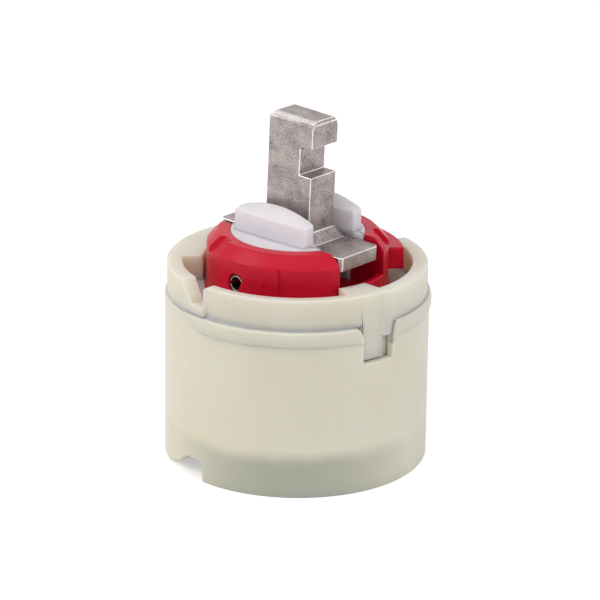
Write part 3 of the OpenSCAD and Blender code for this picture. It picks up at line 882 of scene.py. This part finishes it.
@dataclass
class UpperHousing:
    """Skirt, shoulder and recess in one turned form, under a rim with its key and stop blocks."""

    skirt: Pair = (19.9, 21.8)
    bearing: float = 16.4
    front: float = 22.3
    collar: float = 23.1
    rim_bore: float = 20.3
    foot: float = 7.5
    shoulder: float = 26.57
    sleeve: float = 30.27
    recess: float = 31.47
    top: float = 35.97
    edge: float = 0.3
    # rulings lie closer towards the foot, where the rim flares
    rulings: tuple[float, ...] = (0.1, 0.3, 0.5, 0.7, 0.8, 0.87, 0.92, 0.96, 0.985)
    front_arc: Pair = (-93.5, -2.0)
    front_ends: Pair = (0.6, 7.0)
    notches: tuple[Pair, ...] = ((-108.5, -93.5), (74.5, 90.0))
    notch_floor: float = 0.9
    notch_slant: float = 3.0
    notch_corner: float = 0.4
    # left side, step and right side of the key in degrees, and the heights of its foot and step
    key: Triple = (-18.6, -7.0, -2.0)
    key_heights: Pair = (24.0, 27.8)
    # a mark just left of the key, which keeps its side upright
    key_mark: float = 0.3
    # how far beyond the key the flare fades, and over what length, in degrees
    key_fade: Pair = (8.0, 6.0)
    # how far the rim's foot stands out, how high, and what part of that is left off the front arc
    flare: Triple = (0.4, 0.8, 0.4)
    stops: tuple[Pair, ...] = ((-24.0, -5.0), (185.0, 219.5))
    stop_reach: float = 16.8
    # over how many degrees, and over what length of marks, a block's side rises
    stop_side: Pair = (0.5, 0.25)

    def core(self) -> Mesh:
        """Turns skirt, shoulder, recess floor and the ledge over the sleeve, as one closed profile.

        Returns:
            The core's mesh.
        """
        inner, outer = self.skirt
        side, ledge = self.front - 0.02, self.sleeve + 0.01
        middle = (side, (self.sleeve + self.recess) / 2, 0)
        return turned([
            middle, (side, ledge, 0.1), (outer, ledge, 0.1), (outer, self.foot, 0.2),
            (inner, self.foot, 0.2), (inner, self.shoulder, 0.1),
            (self.bearing, self.shoulder, 0.2), (self.bearing, self.recess, 0.25),
            (self.rim_bore, self.recess, 0.1), (self.rim_bore + 0.1, self.recess, 0.1),
            (side, self.recess, 0.1), middle])

    def _outside(self, across: Array, along: Array) -> Array:
        """Shapes the rim's outer face: less over the front arc, and flaring over the sleeve.

        Args:
            across: Distance across the unrolled rim.
            along: Height.

        Returns:
            The radius there.
        """
        degrees = np.degrees(across / self.collar)
        part = between(degrees, *self.front_arc, *self.front_ends)
        wide, fade = self.key_fade
        in_key = between(degrees, self.key[0] - wide, self.key[-1] + wide, fade, fade)
        out, tall, least = self.flare
        foot = 1 - smooth(along, self.sleeve + 0.1, self.sleeve + tall)
        flare = out * foot**2 * (1 - in_key) * (least + (1 - least) * part)
        return self.collar - (self.collar - self.front) * part + flare

    def _inside(self, across: Array, along: Array) -> Array:
        """Shapes the rim's inner face, which is drawn in to the rotor where the stop blocks stand.

        Args:
            across: Distance across the unrolled rim.
            along: Height.

        Returns:
            The radius there.
        """
        degrees = np.degrees(across / self.collar)
        side, _ = self.stop_side
        blocks = sum(between(degrees, start - whole, end - whole, side, side)
                     for start, end in self.stops for whole in (0, 360))
        return self.rim_bore - (self.rim_bore - self.stop_reach) * blocks

    def rim(self) -> Mesh:
        """Makes the rim. Its top drops to the floor of each notch, and its foot follows the key.

        Returns:
            The rim's mesh.
        """
        floor, corner, slant = self.recess + self.notch_floor, self.notch_corner, self.notch_slant
        first, second = ([unrolled(angle, self.collar) for angle in arc] for arc in self.notches)
        left, step, right = (unrolled(angle, self.collar) for angle in self.key)
        whole = unrolled(180, self.collar)
        stops = [unrolled((angle + 180) % 360 - 180, self.collar)
                 for arc in self.stops for angle in arc]
        _, gap = self.stop_side
        marks = sorted({
            -whole, *first, first[0] + slant, *second, left, left - self.key_mark, step, right,
            whole, *(round(stop + offset, 3) for stop in stops for offset in (-gap, 0, gap))})
        risers = (first[1], *second)
        foot, under = self.sleeve, dict(zip((left, step, right), (*self.key_heights, self.sleeve)))
        sections = []
        for start, end in zip(marks[:-1], marks[1:]):
            if start == first[0]:
                path = [(start, self.top, 0), (end, floor, 0.5), (end + CLOSING, floor, 0)]
                upper = eased(path)[:-1]
            else:
                low = any(a <= start < b for a, b in (first, second))
                height = floor if low else self.top
                path = [(mark, height, corner) for mark in (start, end)]
                if start in risers:
                    path.insert(0, (start, floor + corner, 0))
                if end in risers:
                    path.append((end, floor + corner, 0))
                upper = eased(path)
            lower = level(start, end, foot)
            if end in under:
                foot = under[end]
                lower = np.vstack([lower, [[end, foot]]])
            sections.append((upper, lower))
        return WrappedWall(*paired(sections, PITCH, ring=True), self.collar, self._outside,
                           self._inside, self.edge, ring=True, rulings=self.rulings).mesh()

    def build(self, finish: Material) -> None:
        """Makes the turned core, and the rim with its key and stop blocks.

        Args:
            finish: The housing's material.
        """
        for part, mesh in {"core": self.core(), "rim": self.rim()}.items():
            settle(f"housing_{part}", mesh, Body.HOUSING, "housing_plastic", "upper_housing",
                   finish)


@dataclass
class Rotor:
    """Red rotor: two half rings with a sloping crown, on a drum with a slot and a slide."""

    ring: float = 16.1
    slot: float = 5.75
    # radius of the well above and below the cheeks' seat
    well: Pair = (11.9, 8.4)
    # foot of the ring, cheeks' seat, shoulder of the crown, and its top
    heights: tuple[float, ...] = (31.6, 38.15, 39.37, 41.37)
    edge: float = 0.22
    # half widths of the pin's mouth: inside its edge, outside it, and where the round fades out
    mouth: Triple = (1.6, 1.75, 2.7)
    mouth_depth: float = 5.0
    # half width at the mouth's skin and at its floor
    mouth_side: Pair = (1.74, 1.62)
    pocket_angles: Pair = (-115.5, 35.5)
    # half width and depth of the pockets in the crown, and where their sides are marked
    pocket: Pair = (1.9, 0.9)
    pocket_marks: tuple[float, ...] = (-2.0, -1.86, 1.86, 2.0)
    # how round the crown's shoulder is
    shoulder_ease: float = 0.2
    lug_arc: Pair = (43.5, 136.5)
    lug_heights: Pair = (33.87, 37.87)
    lug_out: float = 2.7
    pad_arc: Pair = (-88.0, -60.0)
    pad_heights: Pair = (33.1, 39.3)
    pad_out: float = 0.6
    pad_lean: float = 2.4
    # the slide's floor and roof, and its half width
    slide: Triple = (16.67, 21.9, 9.1)
    foot: float = 19.6
    flange: float = 4.0
    bore: float = 7.6
    # heights of the cup under the slot: neck, foot of its skin, floor, wall's foot and rim
    cup: tuple[float, ...] = (31.5, 31.9, 32.4, 32.8, 33.2)
    cup_wall: float = 1.3
    # how far a slot wall runs into the half rings, in degrees
    wall_lap: float = 3.0
    skin_sink: float = 0.05
    neck_out: float = 0.24
    slide_lap: float = 0.18

    def drum(self) -> Mesh:
        """Turns the foot flange, the bearing neck and the cup under the slot.

        Returns:
            The drum's mesh.
        """
        skin, neck = self.ring - self.skin_sink, self.ring + self.neck_out
        roof = self.slide[1] - self.slide_lap
        collar, inner = roof + self.flange, skin - self.cup_wall
        low, skin_foot, floor, wall_foot, rim = self.cup
        middle = (skin, wall_foot - 0.1, 0)
        return turned([
            middle, (skin, skin_foot, 0.1), (neck, low, 0.1), (neck, collar, 0.1),
            (self.foot, collar, 0.3), (self.foot, roof, 0.2), (self.bore, roof, 0.2),
            (self.bore, floor, 0.3), (inner, floor, 0.4), (inner, rim, 0.1), (skin, rim, 0.1),
            middle])

    def slot_walls(self) -> dict[str, Mesh]:
        """Makes the low walls that close the slot's two ends below the lever's foot.

        Returns:
            Their meshes by name.
        """
        skin = self.ring - self.skin_sink
        reach = math.degrees(math.asin(self.slot / self.ring)) + self.wall_lap
        heights, radii = (self.cup[3], PIN_HEIGHT - 0.2), (skin - self.cup_wall, skin)
        return {f"slot_wall_{end}": arc_block((at - reach, at + reach), heights, radii,
                                              corner=0.1, edge=0.2)
                for end, at in (("right", 0), ("left", 180))}

    def _half_arc(self, radius: Any) -> Any:
        """Half the angle that a half ring covers at a radius, up to the slot's straight side."""
        return math.pi / 2 - np.arcsin(self.slot / radius)

    def half_ring(self, side: int) -> WrappedWall:
        """Draws one half ring, with its ends in the slot's straight sides.

        Args:
            side: 1 for the half behind the lever and -1 for the half in front.

        Returns:
            The half ring as a wrapped wall.
        """
        low, seat, shoulder, high = self.heights
        middle, (half, drop) = (low + high) / 2, self.pocket
        reach = float(self.ring * self._half_arc(self.ring))
        flank = reach - 1.0
        pocket = unrolled(self.pocket_angles[side > 0] - 90 * side, self.ring)
        bore = [sign * wide for sign in (-1, 1) for wide in self.mouth]
        marks = sorted([-flank, flank, *bore, *(pocket + mark for mark in self.pocket_marks)])
        start, end = (
            [eased([(sign * reach, middle, 0), (sign * reach, z, 0.3), (sign * flank, z, 0)])
             for z in (high, low)] for sign in (-1, 1))
        sections = [[level(a, b, z) for z in (high, low)] for a, b in zip(marks[:-1], marks[1:])]
        sections = [start, *sections, [path[::-1] for path in end]]
        levels = sorted({*(PIN_HEIGHT + d for d in bore), *np.arange(low + 0.5, high - 0.3, 0.3),
                         shoulder - drop, shoulder - drop + 0.1}, reverse=True)
        above = np.array(levels) - middle
        spans = np.where(above > 0, high - self.edge - middle, middle - low - self.edge)

        def outer(across: Array, along: Array) -> Array:
            """The ring, less the crown's slope with an eased shoulder, the pocket and the mouth."""
            over = along - shoulder
            face = self.ring - (over + np.sqrt(over**2 + self.shoulder_ease**2)) / 2
            inside = 1 - smooth(np.abs(across - pocket), half - 0.04, half + 0.08)
            floor = self.ring - (over + drop)
            face = face - inside * np.clip(face - floor, 0, None) * (over > -drop - 0.2)
            place = np.maximum(np.abs(across), np.abs(along - PIN_HEIGHT))
            skin, floor = self.mouth_side
            return face - self.mouth_depth * (1 - smooth(place, floor, skin))

        def inner(across: Array, along: Array) -> Array:
            """The well's wall above the cheeks' seat, and solid down to the slot's end below it."""
            high_well, low_well = self.well
            return low_well + (high_well - low_well) * smooth(along, seat - 0.1, seat + 0.1)

        def turn(across: Array, radius: Array) -> Array:
            """Angle about the axis, so that the ends lie in the slot's sides at every radius."""
            return math.radians(90 * side) + across / reach * self._half_arc(radius)

        return WrappedWall(*paired(sections, PITCH, ring=False), self.ring, outer, inner, self.edge,
                           rulings=tuple(0.5 - above / (2 * spans)), turn=turn)

    def _round_mouth(self, wall: WrappedWall) -> Array:
        """Turns the squares round the pin's mouth into circles.

        A point keeps its greatest distance across or along from the mouth's middle, but lies in its
        own direction at that distance, and the change fades out away from the mouth.

        Args:
            wall: A half ring.

        Returns:
            The half ring's grid.
        """
        _, rim, fade = self.mouth
        rows, _ = wall.flat_rows()
        flat = np.concatenate([rows, rows[::-1]])
        offset = flat - [0, PIN_HEIGHT]
        far = np.linalg.norm(offset, axis=-1)
        place = np.abs(offset).max(axis=-1)
        ratio = np.where(far > 0, place / np.where(far > 0, far, 1), 1)
        fade -= 0.05
        shifted = offset * (ratio + (1 - ratio) * smooth(place, rim, fade))[..., None]
        points = wall.points()
        radius = np.hypot(points[..., 0], points[..., 1])
        near = (place < fade) & (np.arange(len(flat)) < len(rows))[:, None]
        rounded = around(radius, wall.turn(shifted[..., 0], radius), shifted[..., 1] + PIN_HEIGHT)
        return np.where(near[..., None], rounded, points)

    def build(self, finish: Material) -> None:
        """Makes the drum, both half rings, the lug, the pad and the two sides of the slide.

        Args:
            finish: The rotor's material.
        """
        (floor, roof, half), back = self.slide, self.ring - 1
        lug, pad = (back, self.ring + self.lug_out), (back, self.ring + self.pad_out)
        meshes = {
            "drum": self.drum(), **self.slot_walls(),
            "lug": arc_block(self.lug_arc, self.lug_heights, lug, corner=0.3, edge=0.25),
            "pad": arc_block(self.pad_arc, self.pad_heights, pad, corner=0.2, edge=0.12,
                             lean=self.pad_lean),
        }
        for name, side in (("front", -1), ("rear", 1)):
            ring = self._round_mouth(self.half_ring(side))
            meshes[f"half_ring_{name}"] = woven(ring, ring=False)
            meshes[f"slide_{name}"] = plate(cut_disc(self.foot, half, side), floor, roof)
        for part, mesh in meshes.items():
            settle(f"rotor_{part}", mesh, Body.ROTOR, "rotor_plastic", "rotor", finish)


@dataclass
class GuideCheek:
    """White guide: a fin with an arched edge and one that is flatter, on a flange with a leg."""

    name: str
    side: int
    arch_outside: bool
    length: float = 16.8
    near: float = 5.25
    thick: float = 2.2
    seat: float = 41.57
    crest: float = 47.1
    arch_radius: float = 22.0
    crease: float = 45.05
    edge: float = 0.32
    # rulings lie closer towards the foot, where the fin flares into the flange
    rulings: tuple[float, ...] = (0.2, 0.4, 0.6, 0.7, 0.75, 0.79, 0.83, 0.87, 0.91)
    # radius and thickness of the flange, and length and lower end of the leg
    flange: Pair = (11.85, 3.4)
    leg: Pair = (14.8, 31.6)
    leg_corner: float = 0.2
    # easing of the fin's upper and lower corners, how deep it sits, and the flare at its root
    fin_eases: Pair = (0.6, 0.3)
    sink: float = 1.0
    root: float = 0.7

    def fin(self) -> Mesh:
        """Makes the fin: an arched outline on one face and a flatter one on the other.

        The arch is the crest less the radius, plus the root of the radius squared less X squared.
        The flatter edge rises to meet it with the square of X, and the sloping top joins them.

        Returns:
            The fin's mesh.
        """
        half, foot = self.length / 2, self.seat - self.sink
        columns, steps, spare = 110, 90, 6
        across = np.linspace(-half, half, steps)
        arch = self.crest - self.arch_radius + np.sqrt(self.arch_radius**2 - across**2)
        lower = self.crease + (arch[0] - self.crease - 0.1) * (across / half) ** 2
        left, right = ((x, (arch[0] + foot) / 2, 0) for x in (-half, half))
        top_ease, foot_ease = self.fin_eases
        corners = [(x, foot, foot_ease) for x in (-half, half)]
        bottom = spaced(eased([left, *corners, right]), columns)
        faces = []
        for height in (arch, lower):
            curve = [(x, z, 0) for x, z in zip(across[spare:-spare], height[spare:-spare])]
            start, end = (-half, height[0], top_ease), (half, height[-1], top_ease)
            top = spaced(eased([left, start, *curve, end, right]), columns)
            faces.append(WrappedWall(top, bottom, 1.0, 0.0, 0.0, self.edge,
                                     rulings=self.rulings).flat_rows())
        (arched, depth), (straight, _) = faces
        inside, outside = (straight, arched) if self.arch_outside else (arched, straight)
        above = np.clip(outside[..., 1] - self.seat, 0, self.root)
        flare = self.root - np.sqrt(np.clip(self.root**2 - (self.root - above) ** 2, 0, None))
        depth = depth[:, None]
        near = np.broadcast_to(self.near + depth, inside.shape[:2])
        far = self.near + self.thick - depth + np.where(depth > 0, 0, flare)
        y = self.side * np.concatenate([far, near[::-1]])
        flat = np.concatenate([outside, inside[::-1]])
        points = np.stack([flat[..., 0], y, flat[..., 1]], axis=-1)
        return woven(points if self.side < 0 else points[::-1], ring=False)

    def build(self, finish: Material) -> None:
        """Makes the fin, the flange and the leg.

        Args:
            finish: The cheek's material.
        """
        radius, thick = self.flange
        (length, foot), root, corner = self.leg, self.seat - thick, self.leg_corner
        low, high = sorted((self.side * self.near, self.side * (self.near + self.thick)))
        half = length / 2
        box = eased([(0, low, 0), (half, low, corner), (half, high, corner),
                     (-half, high, corner), (-half, low, corner), (-CLOSING, low, 0)], 3)
        meshes = {
            "fin": self.fin(),
            "flange": plate(cut_disc(radius, self.near, self.side), root, self.seat, 0.3),
            "leg": plate(box[:-1], foot, root + 0.5),
        }
        for part, mesh in meshes.items():
            settle(f"{self.name}_{part}", mesh, Body.ROTOR, "cheek_plastic", self.name, finish)


@dataclass
class SpringPin:
    """Rolled spring pin along Y: a wall wrapped round the pin's axis, open at its slit."""

    radius: float = 1.5
    wall: float = 0.3
    length: float = 31.9
    slit: float = 0.5
    edge: float = 0.1

    def mesh(self) -> Mesh:
        """Makes the pin: radius times the turn's cosine across and its sine upwards, and along Y.

        Returns:
            The pin's mesh.
        """
        half, gap = self.length / 2, self.slit / self.radius / 2
        start, end = self.radius * (math.pi + gap), self.radius * (3 * math.pi - gap)
        top = np.concatenate([spaced(np.array([[start, 0], [start, half]]), 3)[:-1],
                              spaced(level(start, end, half), 60)[:-1],
                              spaced(np.array([[end, half], [end, 0]]), 3)])
        wall = WrappedWall(top, top * [1, -1], self.radius, self.radius, self.radius - self.wall,
                           self.edge, rulings=(0.5,))
        x, z, y = np.moveaxis(wall.points(), -1, 0)
        return woven(np.stack([x, -y, z + PIN_HEIGHT], axis=-1), ring=False)

    def build(self, finish: Material) -> None:
        """Makes the pin.

        Args:
            finish: Its material.
        """
        settle("lever_pin_rolled", self.mesh(), Body.ROTOR, "pin_steel", "lever_pin", finish)


@dataclass
class Moulding:
    """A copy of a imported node, with the small rounds that its mould or press leaves on edges."""

    node: str
    body: Body
    slot: str
    round_mm: float
    segments: int
    # triangles flatter to each other than this are one face, and edges sharper than this get round
    flat_deg: float = 0.6
    sharp_deg: float = 32.0

    def shape(self, mesh: Mesh) -> None:
        """Changes the merged copy before its edges are rounded; a plain moulding stays as it is.

        Args:
            mesh: The copy, in millimetres.
        """

    def merged(self) -> Mesh:
        """Copies the node, joining its loose triangles and merging flat ones into faces.

        Returns:
            The copy, in millimetres.
        """
        flat = math.radians(self.flat_deg)
        bm = bmesh.new()
        bm.from_mesh(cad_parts[self.node].data)
        bmesh.ops.scale(bm, vec=(1 / MM,) * 3, verts=bm.verts)
        bmesh.ops.remove_doubles(bm, verts=bm.verts, dist=COPY_TOUCHING)
        bmesh.ops.dissolve_limit(bm, angle_limit=flat, verts=bm.verts, edges=bm.edges)
        mesh = bpy.data.meshes.new("merged")
        bm.to_mesh(mesh)
        bm.free()
        self.shape(mesh)
        return mesh

    def build(self, *finishes: Material) -> None:
        """Makes the piece.

        Args:
            *finishes: Its material, and that of its rounds where there is one, smoothed by wear and
                       painted brighter as a highlight.
        """
        # with two finishes the rounds take the second: wear, with a painted highlight
        rounds = {"material": len(finishes) - 1 or -1, "width": self.round_mm,
                  "segments": self.segments, "limit_method": "ANGLE",
                  "angle_limit": math.radians(self.sharp_deg), "use_clamp_overlap": False,
                  "loop_slide": False}
        settle(f"{self.node}_moulded", self.merged(), self.body, self.slot, self.node, *finishes,
               rounds=rounds)


@dataclass
class Lever(Moulding):
    """The lever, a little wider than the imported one, with a chamfer along its top edge."""

    tilt: float = 2.3
    chamfer: float = 0.8
    # heights between which the hub passes into the foot, and one between the foot and the stem
    hub: Pair = (36.9, 38.0)
    knee: float = 50.0

    def _widened(self, points: Array) -> Array:
        """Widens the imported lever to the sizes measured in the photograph.

        X and Y are taken in the lever's own upright frame and moved piece by piece along straight
        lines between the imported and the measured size. Heights, and the hub, stay as they are.

        Args:
            points: The lever's points, one row each.

        Returns:
            The moved points.
        """
        pin, tilt = np.array([0, 0, PIN_HEIGHT]), math.radians(self.tilt)
        turn = np.array([[math.cos(tilt), 0, math.sin(tilt)], [0, 1, 0],
                         [-math.sin(tilt), 0, math.cos(tilt)]])
        x, y, z = ((points - pin) @ turn + pin).T
        stem = np.interp(np.abs(x), [0, 2.05, 4.9, 13.7, 20], [0, 2.35, 5.05, 14.2, 20.5])
        foot = np.interp(np.abs(x), [0, 4.9, 13.7, 20], [0, 5.05, 14.2, 20.5])
        wide = np.interp(np.abs(y), [0, 3.15, 4.85, 8], [0, 3.3, 5.1, 8.3])
        above = smooth(z, *self.hub)
        new_x = np.sign(x) * (np.where(z > self.knee, stem, foot) * above + np.abs(x) * (1 - above))
        new_y = np.sign(y) * (wide * above + np.abs(y) * (1 - above))
        return (np.column_stack([new_x, new_y, z]) - pin) @ turn.T + pin

    def shape(self, mesh: Mesh) -> None:
        """Widens the lever, and chamfers its top edge between the end face and the face towards -Y.

        Args:
            mesh: The merged copy, in millimetres.
        """
        moved(mesh, self._widened)
        bm = bmesh.new()
        bm.from_mesh(mesh)
        top = max(vert.co.z for vert in bm.verts)
        edges = [edge for edge in bm.edges if edge.calc_length() > 4
                 and all(vert.co.z > top - 1.0 and vert.co.y < -2 for vert in edge.verts)]
        cut = bmesh.ops.bevel(bm, geom=edges, offset=self.chamfer, segments=1, affect="EDGES")
        # the chamfer takes the second finish too: wear, with a painted highlight
        for face in cut["faces"]:
            face.material_index = 1
        bm.to_mesh(mesh)
        bm.free()


@dataclass(frozen=True)
class SoftBox:
    """A square lamp with a soft front, turned to the object."""

    name: str
    azimuth: float
    elevation: float
    distance_m: float
    side_m: float
    watts: float
    colour: str


@dataclass
class Studio:
    """Pale floor, soft lamps and the camera at the photograph's viewing angle."""

    azimuth: float = 41.5
    elevation: float = 21.4
    roll: float = 0.7
    distance_mm: float = 550.0
    fitted_height_mm: float = 15.0
    aim_height_mm: float = 28.07
    aim_side_mm: float = 0.52
    lens_mm: float = 184.3
    sensor_mm: float = 36.0
    lamp_aim_m: float = 0.03
    floor_half_m: float = 3.0
    # how much of its own light the floor and the world give, where seen and where they only light
    floor_lift: float = 0.45
    world_strengths: Pair = (0.4, 1.0)
    lamps: tuple[SoftBox, ...] = (
        SoftBox("key", -35.0, 40.0, 0.55, 0.34, 1.15, "#fffaf4"),
        SoftBox("front", 50.0, 28.0, 0.60, 0.40, 0.3, "#fffdfb"),
        SoftBox("fill", 100.0, 30.0, 0.60, 0.40, 0.8, "#fbfbff"),
        SoftBox("top", 41.0, 85.0, 0.55, 0.40, 0.5, "#ffffff"),
    )

    def build(self) -> None:
        """Builds floor, world, lamps and camera."""
        self._floor()
        self._world()
        for lamp in self.lamps:
            self._lamp(lamp)
        self._camera()

    @staticmethod
    def _back(azimuth: float, elevation: float) -> Vector:
        """Direction from the object towards a camera or lamp at these angles."""
        a, e = math.radians(azimuth), math.radians(elevation)
        return Vector((math.sin(a) * math.cos(e), -math.cos(a) * math.cos(e), math.sin(e)))

    def _camera(self) -> None:
        """Places the camera where the photograph's was, aimed at the middle of the frame."""
        back = self._back(self.azimuth, self.elevation)
        place = Vector((0, 0, self.fitted_height_mm)) + back * self.distance_mm
        right = Vector((-back.y, back.x, 0)).normalized()
        aim = Vector((0, 0, self.aim_height_mm)) + right * self.aim_side_mm
        data = bpy.data.cameras.new("camera")
        data.lens = self.lens_mm
        data.sensor_width = self.sensor_mm
        data.clip_start = 0.01
        camera = placed("camera", data)
        camera.location = place * MM
        turn = (aim - place).to_track_quat("-Z", "Y").to_matrix()
        roll = Matrix.Rotation(math.radians(self.roll), 3, "Z")
        camera.rotation_euler = (turn @ roll).to_euler()
        bpy.context.scene.camera = camera

    def _lamp(self, box: SoftBox) -> None:
        """Hangs one lamp.

        Args:
            box: What it is and where it hangs.
        """
        data = bpy.data.lights.new(box.name, "AREA")
        data.shape = "SQUARE"
        data.size = box.side_m
        data.energy = box.watts
        data.color = linear(box.colour)[:3]
        lamp = placed(box.name, data)
        back = self._back(box.azimuth, box.elevation)
        lamp.location = Vector((0, 0, self.lamp_aim_m)) + back * box.distance_m
        lamp.rotation_euler = (-back).to_track_quat("-Z", "Y").to_euler()

    @staticmethod
    def _seen(g: Graph) -> Any:
        """Tells the rays that see a surface from those that light the object.

        Args:
            g: The tree of the floor's material or of the world.

        Returns:
            A socket with 1 for camera, glossy and transmission rays, and 0 for the others.
        """
        path = g.add("LightPath").outputs
        seen = path["Is Camera Ray"]
        for kind in ("Is Glossy Ray", "Is Transmission Ray"):
            seen = g.add("Math", {0: seen, 1: path[kind]}, operation="MAXIMUM").outputs[0]
        return seen

    def _floor(self) -> None:
        """Lays a wide white floor that keeps the object's shadow and reads as white elsewhere."""
        half = self.floor_half_m
        mesh = bpy.data.meshes.new("floor")
        corners = [(-half, -half, 0), (half, -half, 0), (half, half, 0), (-half, half, 0)]
        mesh.from_pydata(corners, [], [(0, 1, 2, 3)])
        paper = bpy.data.materials.new("white_studio_paper")
        g = Graph(paper)
        diffuse = g.add("BsdfDiffuse", {"Color": linear("#f4f4f2")})
        lift = g.add("Math", {0: self._seen(g), 1: self.floor_lift}, operation="MULTIPLY")
        glow = g.add("Emission", {"Color": linear("#ffffff"), "Strength": lift.outputs[0]})
        both = g.add("AddShader", {0: diffuse.outputs[0], 1: glow.outputs[0]})
        g.add("OutputMaterial", {"Surface": both.outputs[0]})
        mesh.materials.append(paper)
        floor = placed("floor", mesh)

    def _world(self) -> None:
        """Makes the world white where it is seen, and gentler where it only lights."""
        world = bpy.data.worlds.new("studio")
        bpy.context.scene.world = world
        g = Graph(world)
        unseen, seen = self.world_strengths
        strength = g.add("MapRange", {"Value": self._seen(g), "To Min": unseen, "To Max": seen})
        sky = g.add("Background", {"Color": linear("#ffffff"), "Strength": strength.outputs[0]})
        g.add("OutputWorld", {"Surface": sky.outputs[0]})


def main() -> None:
    """Builds the cartridge's pieces in order, then the studio."""
    logging.basicConfig(level=logging.INFO, format="%(message)s")
    bpy.context.scene.view_settings.view_transform = "Standard"
    # the sleeve's wall carries a painted shade where the dark base plate stands behind it
    acetal = NaturalAcetal("natural_acetal_moulded", "#e8e1cb", "#ede6d4", scatter=0.7,
                           scatter_mm=3.5, shade=PaintedBaseShade()).material()
    # painted light: the beads get their own, less yellow copy of the acetal, for the light through
    # the thin lip
    bead = NaturalAcetal("natural_acetal_lip_painted_light", "#dfdac9", "#e4e0d1", scatter=0.7,
                         scatter_mm=2.5).material()
    rim = NaturalAcetal("natural_acetal_housing", "#dedaca", "#e4e1d4", scatter=1.0,
                        scatter_mm=4.5).material()
    red = Moulded("red_acetal_moulded", "#c50929", "#cf0d31", 0.34, specular=0.2,
                  scatter=0.15).material()
    white = Moulded("white_acetal_moulded", "#e3dfe7", "#e9e5ec", 0.36, scatter=0.9,
                    scatter_mm=3.5).material()
    steel = SinteredSteel("sintered_stainless_steel", "#b6acaa", "#5f5755").material()
    # the lever's chamfer and rounds: smoothed by wear, and painted far brighter than the steel as a
    # highlight
    wear_and_painted_highlight = SinteredSteel("sintered_steel_edge_wear_and_painted_highlight", "#f2ecea", "#bfb6b3", 0.3).material()
    spring = SinteredSteel("spring_steel_rolled", "#9a9a9c", "#77787b", 0.3).material()
    dark = Moulded("glass_filled_polyamide_grey", "#565b54", "#5d625b", 0.5).material()
    rubber = Moulded("nitrile_rubber_moulded", "#292d2a", "#2f3330", 0.6).material()
    alumina = Moulded("alumina_lapped", "#ece9e1", "#f2f0ea", 0.25, ior=1.7).material()
    Sleeve().build(acetal, bead)
    UpperHousing().build(rim)
    Moulding("base_plate", Body.HOUSING, "base_plastic", round_mm=0.15, segments=2).build(dark)
    Rotor().build(red)
    GuideCheek("guide_cheek_front", -1, arch_outside=False).build(white)
    GuideCheek("guide_cheek_rear", 1, arch_outside=True).build(white)
    SpringPin().build(spring)
    Lever("lever", Body.LEVER, "lever_metal", round_mm=0.14, segments=3).build(steel, wear_and_painted_highlight)
    for node, finish in {
        "fixed_disc": alumina, "moving_disc": alumina, "thrust_ring": white,
        "disc_carrier": rim, "noise_insert": spring, "chamber_seal": rubber,
        **{f"{height}_seal_{port}": rubber
           for height in ("lower", "upper") for port in ("cold", "hot", "mixed")},
    }.items():
        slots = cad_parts[node].data.materials
        slots.clear()
        slots.append(finish)
    Studio().build()


if __name__ == "__main__":
    main()
